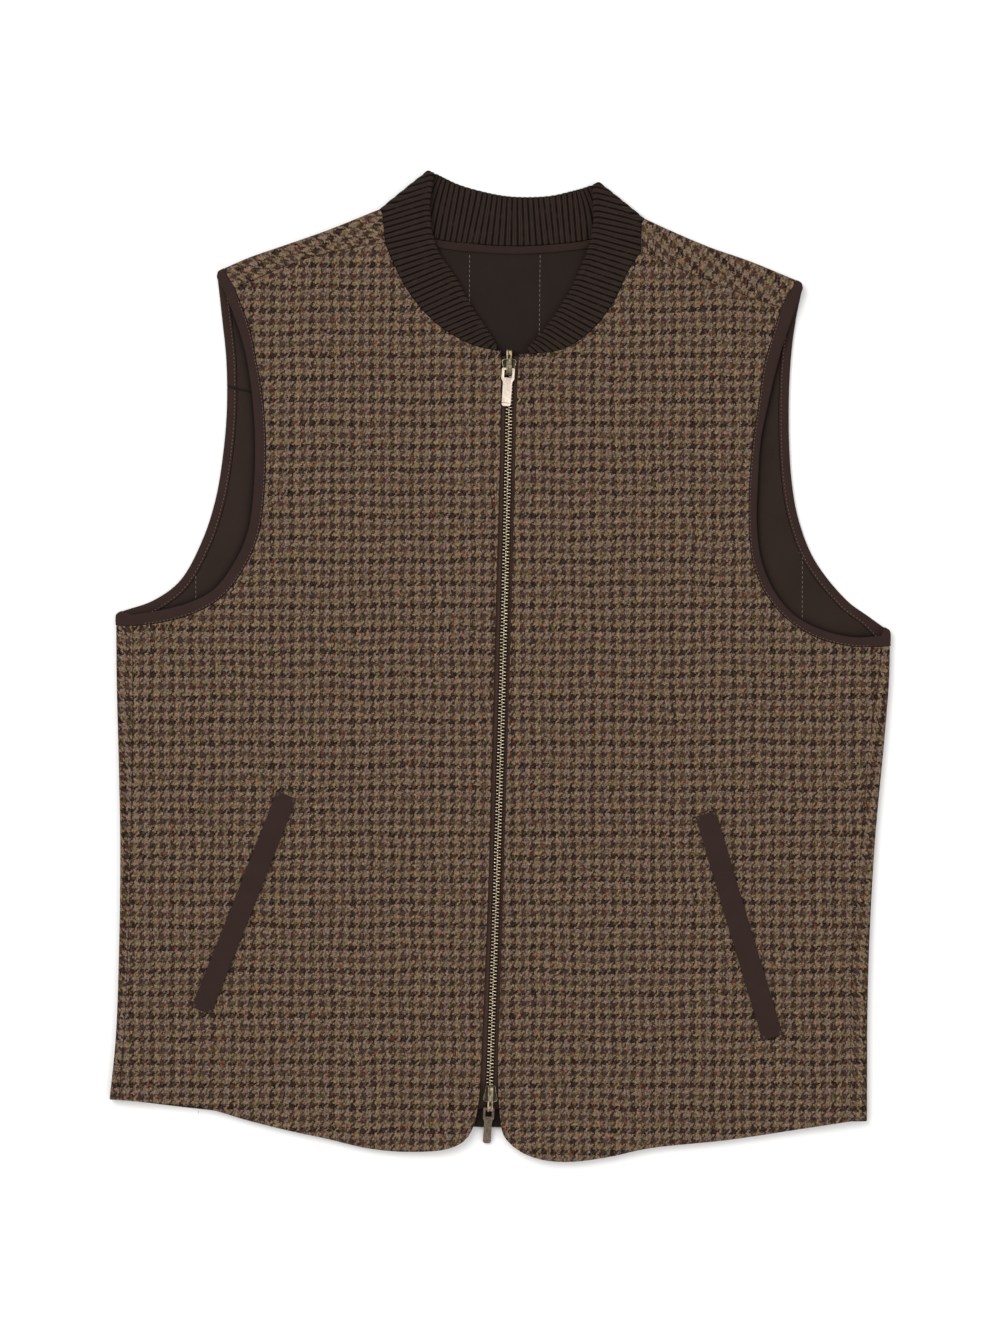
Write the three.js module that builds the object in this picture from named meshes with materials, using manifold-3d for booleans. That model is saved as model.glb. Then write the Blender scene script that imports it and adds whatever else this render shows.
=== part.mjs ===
// A zip-front tweed waistcoat laid flat on its back: tweed fronts and back, a rib-knit stand
// collar, twill-bound armholes, slanted welt pockets and a two-way metal zip.
// Millimetres. +X is the viewer's right, +Y runs from hem to collar, +Z up from the surface.
// "right" and "left" in names are the wearer's: the right front lies at -X.

import * as THREE from 'three';
import { mergeVertices } from 'three/addons/utils/BufferGeometryUtils.js';
import Module from 'manifold-3d';

const wasm = await Module();
wasm.setup();

// Cloth thicknesses and the gap between neighbouring pieces
const SEAM_GAP = 0.3;
const STRIP_GAP = 0.45;
const COLLAR_GAP = 0.7;
const TWEED = 2.0;
const LINING = 1.0;
const BINDING_BACK = 3.5;
const BINDING_FRONT = 2.4;
const COLLAR = 3.6;
const RIB_DEPTH = 0.6;
const RIB_PITCH = 3.6;
const WELT = 1.2;
const WELT_CLEAR = 0.4;
const TAPE = 1.0;

// Heights of the middle of each layer above the surface
const BACK_Z = TWEED / 2;
const FOLD_RADIUS = 3.3;
const FRONT_Z = BACK_Z + 2 * FOLD_RADIUS;
const FRONT_SINK = 1.6;
const LINING_Z = TWEED + SEAM_GAP;
const NECK_TAPE_Z = LINING_Z + LINING + SEAM_GAP;
const COLLAR_FOLD_RADIUS = 2.8;
const ZIP_TAPE_Z = 5.3;

// Zip hardware
const CHAIN_WIDTH = 5.7;
const CHAIN_Z = 4.7;
const CHAIN_HEIGHT = 2.2;
const TAPE_INNER = 3.25;
const TAPE_OUTER = 15;
const ZIP_TAPE_TOP = 216.5;
const ZIP_TAPE_FOOT = -306;
const CHAIN_TOP = 213;
const CHAIN_FOOT = -303.5;
const PLATE = 0.8;
const PLATE_LOW_Z = 3.6;
const PLATE_HIGH_Z = 7.4;
const SLIDER_LENGTH = 18;
const SLIDER_SHOULDER = 11.5;
const BRIDGE_WIDTH = 4.2;
const BRIDGE_TOP = 12.1;
const BRIDGE_WALL = 1.1;
const BRIDGE_FOOT = 1.4;
const UPPER_SLIDER_Y = 203;
const LOWER_SLIDER_Y = -293;
const PULL_AXIS_Z = 9.6;
const PULL_THICK = 1.6;
const PULL_LENGTH = 26;
const PULL_HEAD_HALF = 4.55;
const PULL_BODY_HALF = 3.25;
const UPPER_PULL_ALONG = 4.3;
const LOWER_PULL_ALONG = 15.1;
const UPPER_PULL_SLOPE = 3;
const LOWER_PULL_SLOPE = 18;

// Divisions along the seams; neighbours share them so that their edges run parallel
const SIDE_STEPS = 9;
const ARMHOLE_BACK_STEPS = 11;
const ARMHOLE_FRONT_STEPS = 14;
const SHOULDER_STEPS = 5;
const NECK_FRONT_STEPS = 8;
const NECK_BACK_STEPS = 8;
const FOLD_STEPS = 4;

const table = (columns, rows) => {
  const names = columns.split(' ');
  return rows.map((row) => Object.fromEntries(names.map((name, i) => [name, row[i]])));
};

// Side folds from underarm to hem: the outermost line, and the seam where the front begins
const sideFolds = {
  right: table('y outer seam', [
    [28, -268.3, -256.5], [-10, -268.0, -256.5], [-66, -266.6, -256.8], [-127, -265.5, -258.0],
    [-200, -266.4, -260.0], [-262, -268.8, -262.8], [-303, -273.0, -266.4]]),
  left: table('y outer seam', [
    [13.5, 272.6, 266.2], [-10, 272.0, 264.0], [-44, 269.4, 259.2], [-117, 262.6, 253.0],
    [-175, 259.0, 248.2], [-235, 257.0, 245.2], [-318, 256.6, 245.0]]),
};

// Armholes: the binding's free edge and its seam, up the back, then down the front
const armholeBack = {
  right: table('freeX freeY seamX seamY', [
    [-264.0, 36.5, -264.0, 28.0], [-241.9, 45.9, -238.5, 39.0], [-223.7, 59.9, -218.4, 55.0],
    [-208.3, 87.9, -201.8, 85.0], [-199.2, 115.9, -192.4, 114.2], [-194.3, 143.9, -187.3, 143.4],
    [-191.2, 178.0, -184.2, 178.0], [-191.5, 213.9, -184.5, 214.3], [-194.3, 241.9, -187.4, 242.6],
    [-197.5, 270.5, -191.2, 274.0]]),
  left: table('freeX freeY seamX seamY', [
    [268.4, 22.0, 268.4, 13.5], [259.0, 34.4, 254.6, 28.6], [243.2, 45.9, 238.6, 40.4],
    [220.2, 73.9, 214.0, 70.5], [209.0, 101.9, 202.3, 100.0], [204.0, 129.9, 197.0, 129.0],
    [202.0, 172.0, 195.0, 172.0], [203.4, 213.9, 196.4, 214.3], [206.9, 241.9, 200.0, 242.8],
    [211.2, 262.6, 205.1, 265.8]]),
};
const armholeFront = {
  right: table('freeX freeY seamX seamY', [
    [-192.8, 261.0, -185.2, 263.5], [-182.5, 233.0, -175.0, 236.0], [-176.8, 210.4, -169.8, 211.0],
    [-172.6, 182.4, -165.4, 184.0], [-171.2, 155.0, -163.6, 155.0], [-172.2, 124.0, -164.6, 122.0],
    [-176.0, 94.9, -168.8, 92.0], [-184.5, 74.5, -178.0, 70.0], [-199.2, 54.3, -193.5, 49.0],
    [-216.7, 44.5, -213.5, 37.0], [-238.0, 38.8, -237.0, 30.4], [-256.5, 36.9, -256.5, 28.0]]),
  left: table('freeX freeY seamX seamY', [
    [205.3, 246.5, 196.2, 250.2], [198.8, 228.0, 190.8, 232.0], [193.2, 208.0, 184.6, 210.0],
    [187.6, 184.0, 180.8, 184.0], [182.2, 157.0, 176.8, 157.0], [180.3, 128.0, 174.2, 126.0],
    [179.6, 100.0, 174.0, 98.0], [182.5, 75.0, 176.8, 72.0], [192.0, 52.0, 186.0, 49.8],
    [206.0, 35.5, 201.0, 32.5], [226.0, 25.0, 222.5, 19.4], [247.0, 20.2, 246.5, 13.6],
    [266.2, 21.0, 266.2, 13.5]]),
};

// Shoulders: the fold on the back layer, and the seam that lies forward of it
const shoulderFold = {
  right: table('x y', [
    [-191.2, 274.0], [-174.4, 281.3], [-146.4, 291.0], [-118.4, 300.9], [-82.0, 315.6]]),
  left: table('x y', [
    [205.1, 265.8], [172.4, 279.2], [144.4, 289.0], [116.4, 300.9], [98.9, 309.0]]),
};
const shoulderSeam = {
  right: table('x y', [
    [-185.2, 263.5], [-157.2, 276.2], [-139.7, 283.2], [-118.7, 288.8], [-97.7, 293.0],
    [-80.2, 295.8]]),
  left: table('x y', [
    [196.2, 250.2], [175.4, 257.3], [154.4, 265.7], [140.4, 271.3], [119.4, 279.7],
    [98.4, 289.5]]),
};

// Horizontal outward directions across the shoulder fold, at the arm and at the neck
const foldOutward = {
  right: { arm: new THREE.Vector2(-0.37, 0.93), neck: new THREE.Vector2(-0.5, 0.866) },
  left: { arm: new THREE.Vector2(0.38, 0.925), neck: new THREE.Vector2(0.5, 0.866) },
};

// Collar: its seam on the neckline and its free edge, front stretches from shoulder to zip
const collarFront = {
  right: table('seamX seamY freeX freeY', [
    [-80.2, 295.8, -47.3, 303.5], [-73.2, 279.0, -41.7, 287.4], [-61.3, 258.0, -29.1, 269.2],
    [-43.1, 238.4, -16.5, 246.8], [-20.7, 225.0, -6.0, 231.4], [-1.8, 220.2, -2.5, 225.0]]),
  left: table('seamX seamY freeX freeY', [
    [98.4, 289.5, 62.6, 296.0], [89.3, 275.5, 56.5, 279.0], [78.8, 253.8, 47.0, 259.5],
    [62.0, 232.8, 36.5, 243.5], [42.4, 220.9, 26.5, 230.5], [21.4, 218.0, 19.0, 222.6]]),
};
const collarShoulder = { right: new THREE.Vector2(-48.7, 321.0), left: new THREE.Vector2(65.0, 312.0) };
const collarBack = table('seamX seamY freeX freeY', [
  [-82.0, 315.6, -47.3, 342.6], [-62.6, 304.9, -38.9, 340.2], [-41.7, 297.9, -27.7, 335.7],
  [-17.2, 295.1, -10.2, 331.5], [10.9, 293.7, 10.9, 328.3], [38.9, 295.1, 34.0, 329.0],
  [62.0, 297.9, 50.8, 332.2], [84.4, 303.5, 59.9, 335.0], [98.9, 309.0, 65.4, 334.2]]);

// Middle of the zip, and how far each front's edge stands from it
const zipLine = table('y x edgeRight edgeLeft', [
  [220, 6.7, 6.3, 7.3], [200, 6.5, 6.1, 6.2], [170, 6.1, 6.1, 5.1], [46, 3.3, 6.1, 4.8],
  [-143, -2.1, 5.6, 4.7], [-270, -6.4, 6.4, 5.1], [-290, -7.1, 6.7, 5.9], [-302, -7.4, 6.8, 6.3]]);

// Hems, from the side to the rounded front corner, and on from the corner up to the zip
const frontHem = {
  right: table('x y', [
    [-266.4, -303.0], [-232.0, -306.0], [-204.0, -309.5], [-176.0, -317.5], [-148.0, -324.5],
    [-120.0, -330.5], [-92.0, -337.0], [-64.0, -339.4], [-38.0, -337.6], [-27.5, -333.5],
    [-22.0, -328.5]]),
  left: table('x y', [
    [245.0, -318.0], [216.0, -322.5], [160.0, -331.0], [104.0, -337.0], [76.0, -343.0],
    [55.0, -346.0], [40.0, -346.2], [28.0, -344.5], [17.0, -340.6], [9.0, -335.5]]),
};
const hemCorner = {
  right: table('x y', [[-22.0, -328.5], [-18.0, -320.0], [-14.4, -302.0]]),
  left: table('x y', [[9.0, -335.5], [2.4, -327.5], [-1.1, -302.0]]),
};
const backHem = table('x y', [
  [-268.7, -303.0], [-190.0, -312.0], [-90.0, -320.0], [-10.0, -322.6], [80.0, -322.6],
  [180.0, -319.8], [252.3, -318.0]]);

// Broad soft undulations of the laid fronts: centre, reach across and along, rise
const undulations = table('x y across along rise', [
  [-120, -180, 45, 90, -0.45], [-60, -40, 30, 120, 0.4], [-140, 60, 50, 60, 0.5],
  [60, -150, 34, 120, 0.45], [130, -40, 50, 80, -0.4], [110, 120, 46, 70, 0.5],
  [160, -220, 50, 60, 0.4], [-200, -120, 34, 110, 0.5], [-90, 180, 50, 50, -0.35]]);

// Welt pockets: the welt's lower inner corner line, its length, width and slant from upright
const welts = {
  right: { x: -207.5, y: -240.4, length: 161, width: 14.5, slant: 21.6 },
  left: { x: 190.4, y: -259.3, length: 163, width: 14.7, slant: -16.4 },
};

const SIDES = ['right', 'left'];
const smoothstep = THREE.MathUtils.smoothstep;
const lerp = THREE.MathUtils.lerp;
const radians = THREE.MathUtils.degToRad;

// A smooth curve through table rows, read at evenly spaced points
const curveOf = (rows, x = 'x', y = 'y') =>
  new THREE.CatmullRomCurve3(rows.map((row) => new THREE.Vector3(row[x], row[y], 0)));
const spaced = (rows, steps) => curveOf(rows).getSpacedPoints(steps);

// One value of a table read at a height y, along straight stretches between its rows
function readAt(rows, y, column) {
  const falling = rows[0].y > rows[rows.length - 1].y ? rows : [...rows].reverse();
  const below = falling.findIndex((row) => row.y <= y);
  if (below === 0) return falling[0][column];
  if (below < 0) return falling[falling.length - 1][column];
  const high = falling[below - 1];
  const low = falling[below];
  return lerp(low[column], high[column], (y - low.y) / (high.y - low.y));
}

const zipCurve = curveOf(zipLine);
const zipX = (y) => {
  const first = zipLine[0].y;
  const last = zipLine[zipLine.length - 1].y;
  const t = THREE.MathUtils.clamp((first - y) / (first - last), 0, 1);
  return zipCurve.getPointAt(t).x;
};

// Height of the fronts' middle layer: high over the zip, sides and shoulders, sunk between
function frontHeight(x, y) {
  const fromZip = Math.abs(x - zipX(y));
  const side = x < 0 ? 'right' : 'left';
  const fromSide = Math.abs(readAt(sideFolds[side], y, 'outer') - x);
  const shoulderY = x < 0 ? 263 + 0.4 * (x + 185) : 250 - 0.4 * (x - 196);
  const fromShoulder = Math.max(0, Math.min(shoulderY, 300) - y);
  const sink = smoothstep(fromZip, 19, 75) * smoothstep(fromSide, 12, 70) * smoothstep(fromShoulder, 4, 55);
  const wave = undulations.reduce((sum, fold) => {
    const reach = ((x - fold.x) / fold.across) ** 2 + ((y - fold.y) / fold.along) ** 2;
    return sum + fold.rise * Math.exp(-reach);
  }, 0);
  return FRONT_Z - FRONT_SINK * sink + wave * sink;
}

// A sheet's middle surface gathers blocks of quads that share their edge points
function sheet() {
  const points = [];
  const quads = [];
  const known = new Map();
  const index = (point) => {
    const key = point.toArray().map((value) => Math.round(value * 1000)).join();
    if (!known.has(key)) {
      known.set(key, points.length);
      points.push(point);
    }
    return known.get(key);
  };
  // rows[j][i] runs left to right in i and upwards in j
  const add = (rows) => {
    for (let j = 0; j + 1 < rows.length; j += 1) {
      for (let i = 0; i + 1 < rows[j].length; i += 1) {
        const corners = [rows[j][i], rows[j][i + 1], rows[j + 1][i + 1], rows[j + 1][i]];
        quads.push(corners.map(index));
      }
    }
  };
  return { points, quads, add };
}

// A closed mesh from points and triangles, turned so that its faces look outwards
function closedGeometry(points, triangles) {
  const volume = triangles.reduce((sum, [a, b, c]) => {
    const cross = new THREE.Vector3().crossVectors(points[b], points[c]);
    return sum + points[a].dot(cross);
  }, 0);
  const outward = volume > 0 ? triangles : triangles.map(([a, b, c]) => [a, c, b]);
  const geometry = new THREE.BufferGeometry().setFromPoints(points);
  geometry.setIndex(outward.flat());
  geometry.computeVertexNormals();
  return geometry;
}

// Gives a middle surface its wall: each point moved half the thickness along both normals,
// and the open border closed with side faces
function thicken({ points, quads }, thickness) {
  const normals = points.map(() => new THREE.Vector3());
  const edgeUse = new Map();
  for (const quad of quads) {
    const [a, b, c, d] = quad.map((i) => points[i]);
    const normal = new THREE.Vector3().crossVectors(c.clone().sub(a), d.clone().sub(b));
    quad.forEach((i) => normals[i].add(normal));
    quad.forEach((i, k) => edgeUse.set(`${i},${quad[(k + 1) % 4]}`, [i, quad[(k + 1) % 4]]));
  }
  const offset = (sign) => points.map((point, i) =>
    point.clone().addScaledVector(normals[i].normalize(), sign * thickness / 2));
  const all = [...offset(1), ...offset(-1)];
  const n = points.length;
  const triangles = [];
  for (const [a, b, c, d] of quads) {
    triangles.push([a, b, c], [a, c, d], [n + a, n + c, n + b], [n + a, n + d, n + c]);
  }
  for (const [a, b] of edgeUse.values()) {
    if (!edgeUse.has(`${b},${a}`)) triangles.push([n + a, n + b, b], [n + a, b, a]);
  }
  return closedGeometry(all, triangles);
}

// Joins rings of equal point counts into a tube, closed on itself or capped at both ends
function loft(rings, closed) {
  const count = rings[0].length;
  const triangles = [];
  const spans = closed ? rings.length : rings.length - 1;
  for (let s = 0; s < spans; s += 1) {
    const next = ((s + 1) % rings.length) * count;
    for (let k = 0; k < count; k += 1) {
      const l = (k + 1) % count;
      const a = s * count;
      triangles.push([a + k, a + l, next + l], [a + k, next + l, next + k]);
    }
  }
  if (!closed) {
    const last = (rings.length - 1) * count;
    for (let k = 1; k + 1 < count; k += 1) {
      triangles.push([0, k + 1, k], [last, last + k, last + k + 1]);
    }
  }
  return closedGeometry(rings.flat(), triangles);
}

// Fills a patch between four borders: rows run straight from left to right, and take up the
// shape of the bottom and top borders, which fades with the square of the distance from them
function patch(bottom, top, left, right) {
  const columns = bottom.length - 1;
  const rows = left.length - 1;
  const grid = [];
  for (let j = 0; j <= rows; j += 1) {
    const v = j / rows;
    grid.push(bottom.map((unused, i) => {
      const u = i / columns;
      const low = bottom[i].clone().sub(bottom[0].clone().lerp(bottom[columns], u));
      const high = top[i].clone().sub(top[0].clone().lerp(top[columns], u));
      return left[j].clone().lerp(right[j], u)
        .addScaledVector(low, (1 - v) ** 2)
        .addScaledVector(high, v ** 2);
    }));
  }
  return grid;
}

// Points of a wrap in a vertical plane: half a turn over the fold, then back to the seam.
// Returns the points after the start, which lies on the lower layer.
function wrap(start, outward, radius, seam) {
  const points = [];
  for (let k = 1; k <= FOLD_STEPS; k += 1) {
    const turn = (Math.PI * k) / FOLD_STEPS;
    points.push(new THREE.Vector3(
      start.x + outward.x * radius * Math.sin(turn),
      start.y + outward.y * radius * Math.sin(turn),
      start.z + radius * (1 - Math.cos(turn))));
  }
  points.push(seam);
  return points;
}

// Seam lines that neighbouring pieces share
const lines = {};
for (const side of SIDES) {
  const sign = side === 'right' ? -1 : 1;
  const inset = FOLD_RADIUS + TWEED / 2;
  const folds = sideFolds[side];
  const hemY = folds[folds.length - 1].y;
  const seamCurve = curveOf(folds, 'seam');
  const outerCurve = curveOf(folds, 'outer');
  const sideSeam = [];
  const sideFold = [];
  for (let j = 0; j <= SIDE_STEPS; j += 1) {
    const t = 1 - j / SIDE_STEPS;
    const seam = seamCurve.getPoint(t);
    const outer = outerCurve.getPoint(t);
    sideSeam.push(new THREE.Vector3(seam.x, seam.y, FRONT_Z));
    sideFold.push(new THREE.Vector3(outer.x - sign * inset, outer.y, BACK_Z));
  }
  const back = armholeBack[side];
  const front = armholeFront[side];
  sideFold[SIDE_STEPS].set(back[0].seamX, back[0].seamY, BACK_Z);
  sideSeam[0].set(frontHem[side][0].x, hemY, FRONT_Z);

  const read = (rows, steps, height) => {
    const free = curveOf(rows, 'freeX', 'freeY');
    const seam = curveOf(rows, 'seamX', 'seamY');
    const stations = [];
    for (let k = 0; k <= steps; k += 1) {
      const f = free.getPoint(k / steps);
      const s = seam.getPoint(k / steps);
      stations.push({ free: f.setZ(height(f)), seam: s.setZ(height(s)) });
    }
    return stations;
  };
  const armBack = read(back, ARMHOLE_BACK_STEPS, () => BACK_Z);
  const armFront = read(front, ARMHOLE_FRONT_STEPS, (p) => frontHeight(p.x, p.y));
  armFront[0].seam.z = FRONT_Z;
  armFront[ARMHOLE_FRONT_STEPS].seam.z = FRONT_Z;

  const neck = collarFront[side];
  const neckStations = read(neck, NECK_FRONT_STEPS, (p) => frontHeight(p.x, p.y));
  neckStations[0].seam.z = FRONT_Z;

  const lift = (points, z) => points.map((p) => p.setZ(z));
  lines[side] = {
    sign,
    sideSeam,
    sideFold,
    armBack,
    armFront,
    neckFront: neckStations,
    shoulderFold: lift(spaced(shoulderFold[side], SHOULDER_STEPS), BACK_Z),
    shoulderSeam: lift(spaced(shoulderSeam[side], SHOULDER_STEPS), FRONT_Z),
  };
}
const neckBack = [];
{
  const seam = curveOf(collarBack, 'seamX', 'seamY');
  const free = curveOf(collarBack, 'freeX', 'freeY');
  for (let k = 0; k <= NECK_BACK_STEPS; k += 1) {
    const t = k / NECK_BACK_STEPS;
    neckBack.push({ seam: seam.getPoint(t).setZ(BACK_Z), free: free.getPoint(t).setZ(COLLAR / 2) });
  }
}

// Outward direction of the shoulder fold at a division counted from the arm
const shoulderOutward = (side, step) =>
  foldOutward[side].arm.clone().lerp(foldOutward[side].neck, step / SHOULDER_STEPS).normalize();

// The back: flat on the surface, turned over the sides and shoulders onto the front
function backPanel() {
  const { right, left } = lines;
  const edge = (line) => [...line.sideFold, ...line.armBack.slice(1).map((s) => s.seam)];
  const neckline = neckBack.map((station) => station.seam);
  const top = [
    ...right.shoulderFold,
    ...neckline.slice(1, -1),
    ...[...left.shoulderFold].reverse(),
  ];
  const hem = spaced(backHem, top.length - 1).map((p) => p.setZ(BACK_Z));
  hem[0] = right.sideFold[0];
  hem[hem.length - 1] = left.sideFold[0];
  const body = sheet();
  body.add(patch(hem, top, edge(right), edge(left)));
  for (const side of SIDES) {
    const line = lines[side];
    const outward = new THREE.Vector2(line.sign, 0);
    const sideRows = line.sideFold.map((start, j) => {
      const row = [start, ...wrap(start, outward, FOLD_RADIUS, line.sideSeam[j])];
      return side === 'right' ? row.reverse() : row;
    });
    body.add(sideRows);
    const columns = line.shoulderFold.map((start, i) =>
      [start, ...wrap(start, shoulderOutward(side, i), FOLD_RADIUS, line.shoulderSeam[i])]);
    if (side === 'left') columns.reverse();
    body.add(columns[0].map((unused, k) => columns.map((column) => column[k])));
  }
  return thicken(body, TWEED);
}

// Moves an open line sideways, towards a point
function shifted(points, toward, gap) {
  return points.map((p, i) => {
    const before = points[Math.max(0, i - 1)];
    const after = points[Math.min(points.length - 1, i + 1)];
    const along = after.clone().sub(before).setZ(0).normalize();
    const inward = new THREE.Vector3(-along.y, along.x, 0);
    if (inward.dot(toward.clone().sub(p).setZ(0)) < 0) inward.negate();
    return p.clone().addScaledVector(inward, gap);
  });
}

const zipPoint = (y, offset) => new THREE.Vector3(zipX(y) + offset, y, 0);

// Outline of a flat piece moved inwards: each corner by its own distance
function insetOutline(points, distances) {
  return points.map((p, i) => {
    const before = points[(i + points.length - 1) % points.length];
    const after = points[(i + 1) % points.length];
    const arriving = new THREE.Vector2(p.x - before.x, p.y - before.y).normalize();
    const leaving = new THREE.Vector2(after.x - p.x, after.y - p.y).normalize();
    const along = arriving.clone().add(leaving).normalize();
    const share = Math.max(0.5, along.dot(leaving));
    return new THREE.Vector2(p.x - along.y * distances[i] / share, p.y + along.x * distances[i] / share);
  });
}

// Height on the zip where the row of the underarm ends
const UNDERARM_ROW = -30;
const CORNER_STEPS = 3;

// Edge of a front along the zip: round its hem corner, then straight up beside the teeth
function zipEdgeOf(side, topY) {
  const { sign } = lines[side];
  const edgeName = side === 'right' ? 'edgeRight' : 'edgeLeft';
  const edge = spaced(hemCorner[side], CORNER_STEPS);
  const cornerY = edge[CORNER_STEPS].y;
  const lowSteps = SIDE_STEPS - CORNER_STEPS;
  const levels = [];
  for (let k = 1; k <= lowSteps; k += 1) levels.push(lerp(cornerY, UNDERARM_ROW, k / lowSteps));
  for (let k = 1; k <= ARMHOLE_FRONT_STEPS; k += 1) {
    levels.push(lerp(UNDERARM_ROW, topY, k / ARMHOLE_FRONT_STEPS));
  }
  const beside = levels.map((y) => new THREE.Vector3(zipX(y) + sign * readAt(zipLine, y, edgeName), y, 0));
  return [...edge, ...beside];
}

// A front: from the side seam and armhole to the zip, its hem rounded off at the zip
function frontPanel(side) {
  const line = lines[side];
  const outer = [...line.sideSeam, ...line.armFront.map((s) => s.seam).reverse().slice(1)];
  const top = [...line.shoulderSeam, ...line.neckFront.map((s) => s.seam).slice(1)];
  const columns = top.length - 1;
  const zipEdge = zipEdgeOf(side, top[columns].y);
  const hem = spaced(frontHem[side], columns);

  // Once round the border, eased at its seams; it runs anticlockwise on the right front
  const border = [...hem, ...zipEdge.slice(1, -1), ...[...top].reverse().slice(1), ...[...outer].reverse().slice(1, -1)];
  border[columns + zipEdge.length - 1].copy(top[columns - 1]);
  const seamStart = columns + zipEdge.length - 1;
  const turn = -line.sign;
  const distances = border.map((unused, i) => (i >= seamStart ? turn * SEAM_GAP : 0));
  const eased = insetOutline(border, distances).map((p) => new THREE.Vector3(p.x, p.y, 0));
  const topEased = [zipEdge[zipEdge.length - 1], ...eased.slice(seamStart, seamStart + columns)].reverse();
  const outerEased = [topEased[0], ...eased.slice(seamStart + columns), hem[0]].reverse();
  outerEased[0].x += turn * SEAM_GAP;

  const grid = patch(hem, topEased, outerEased, zipEdge);
  grid.forEach((row) => row.forEach((p) => p.setZ(frontHeight(p.x, p.y))));
  const body = sheet();
  body.add(grid);
  return thicken(body, TWEED);
}

function flatPiece(outline, bottom, thickness) {
  const geometry = new THREE.ExtrudeGeometry(new THREE.Shape(outline), {
    depth: thickness, bevelEnabled: false, curveSegments: 6 });
  return geometry.translate(0, 0, bottom);
}

// The back lining, seen in the neck and the armholes; anticlockwise outline
function backLining() {
  const { right, left } = lines;
  const outline = [];
  const distances = [];
  const run = (points, distance) => points.forEach((p) => {
    outline.push(p);
    distances.push(distance);
  });
  const hemSteps = 12;
  run(spaced(backHem, hemSteps).slice(1, -1), 2.5);
  run(left.sideFold.slice(0, -1), 1.2);
  run(left.armBack.slice(0, -1).map((s) => s.seam), 0.6);
  run(left.shoulderFold.slice(0, -1), 1.2);
  run(neckBack.map((s) => s.seam).reverse().slice(0, -1), 0.6);
  run([...right.shoulderFold].reverse().slice(0, -1), 1.2);
  run(right.armBack.map((s) => s.seam).reverse().slice(0, -1), 0.6);
  run([...right.sideFold].reverse(), 1.2);
  return flatPiece(insetOutline(outline, distances), LINING_Z, LINING);
}

// A narrow tape over the back neck seam
function neckTape() {
  const width = 5;
  const seam = neckBack.slice(2, -1).map((s) => s.seam);
  const below = new THREE.Vector3(10, 200, 0);
  const upper = shifted(seam, below, COLLAR_GAP);
  const lower = shifted(seam, below, COLLAR_GAP + width);
  return flatPiece([...lower, ...upper.reverse()], NECK_TAPE_Z, LINING);
}

// Armhole binding: a folded strip whose free edge is rounded, run once round the armhole
function armholeBinding(side) {
  const line = lines[side];
  const stations = [];
  const flatLift = (BINDING_BACK - TWEED) / 2;
  line.armBack.forEach(({ free, seam }) => stations.push({
    free: free.clone().setZ(BACK_Z + flatLift),
    seam: seam.clone().setZ(BACK_Z + flatLift),
    outer: new THREE.Vector3(0, 0, -1),
    thickness: BINDING_BACK,
  }));
  const turnOver = (free, seam, outward, reverse) => {
    const turns = [];
    for (let k = 1; k <= FOLD_STEPS; k += 1) {
      const turn = (Math.PI * k) / FOLD_STEPS;
      const share = k / FOLD_STEPS;
      const thickness = lerp(BINDING_BACK, BINDING_FRONT, share);
      const base = BACK_Z + flatLift * (1 - share);
      const shift = new THREE.Vector3(outward.x, outward.y, 0).multiplyScalar(FOLD_RADIUS * Math.sin(turn));
      const z = base + FOLD_RADIUS * (1 - Math.cos(turn));
      const outer = new THREE.Vector3(outward.x * Math.sin(turn), outward.y * Math.sin(turn), -Math.cos(turn));
      turns.push({ free: free.clone().setZ(z).add(shift), seam: seam.clone().setZ(z).add(shift), outer, thickness });
    }
    if (reverse) turns.reverse();
    stations.push(...turns);
  };
  const shoulder = line.armBack[ARMHOLE_BACK_STEPS];
  turnOver(shoulder.free, shoulder.seam, shoulderOutward(side, 0), false);
  line.armFront.forEach(({ free, seam }) => stations.push({
    free: free.clone(), seam: seam.clone(), outer: new THREE.Vector3(0, 0, 1), thickness: BINDING_FRONT }));
  turnOver(line.armBack[0].free, line.armBack[0].seam, new THREE.Vector2(line.sign, 0), true);
  const round = 0.9;
  const rings = stations.map(({ free, seam, outer, thickness }) => {
    const across = free.clone().sub(seam);
    const width = across.length();
    across.divideScalar(width);
    const half = thickness / 2;
    const section = [[STRIP_GAP, half], [width - round, half], [width, half * 0.45],
      [width, -half * 0.45], [width - round, -half], [STRIP_GAP, -half]];
    return section.map(([w, h]) => seam.clone().addScaledVector(across, w).addScaledVector(outer, h));
  });
  return loft(rings, true);
}

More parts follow.
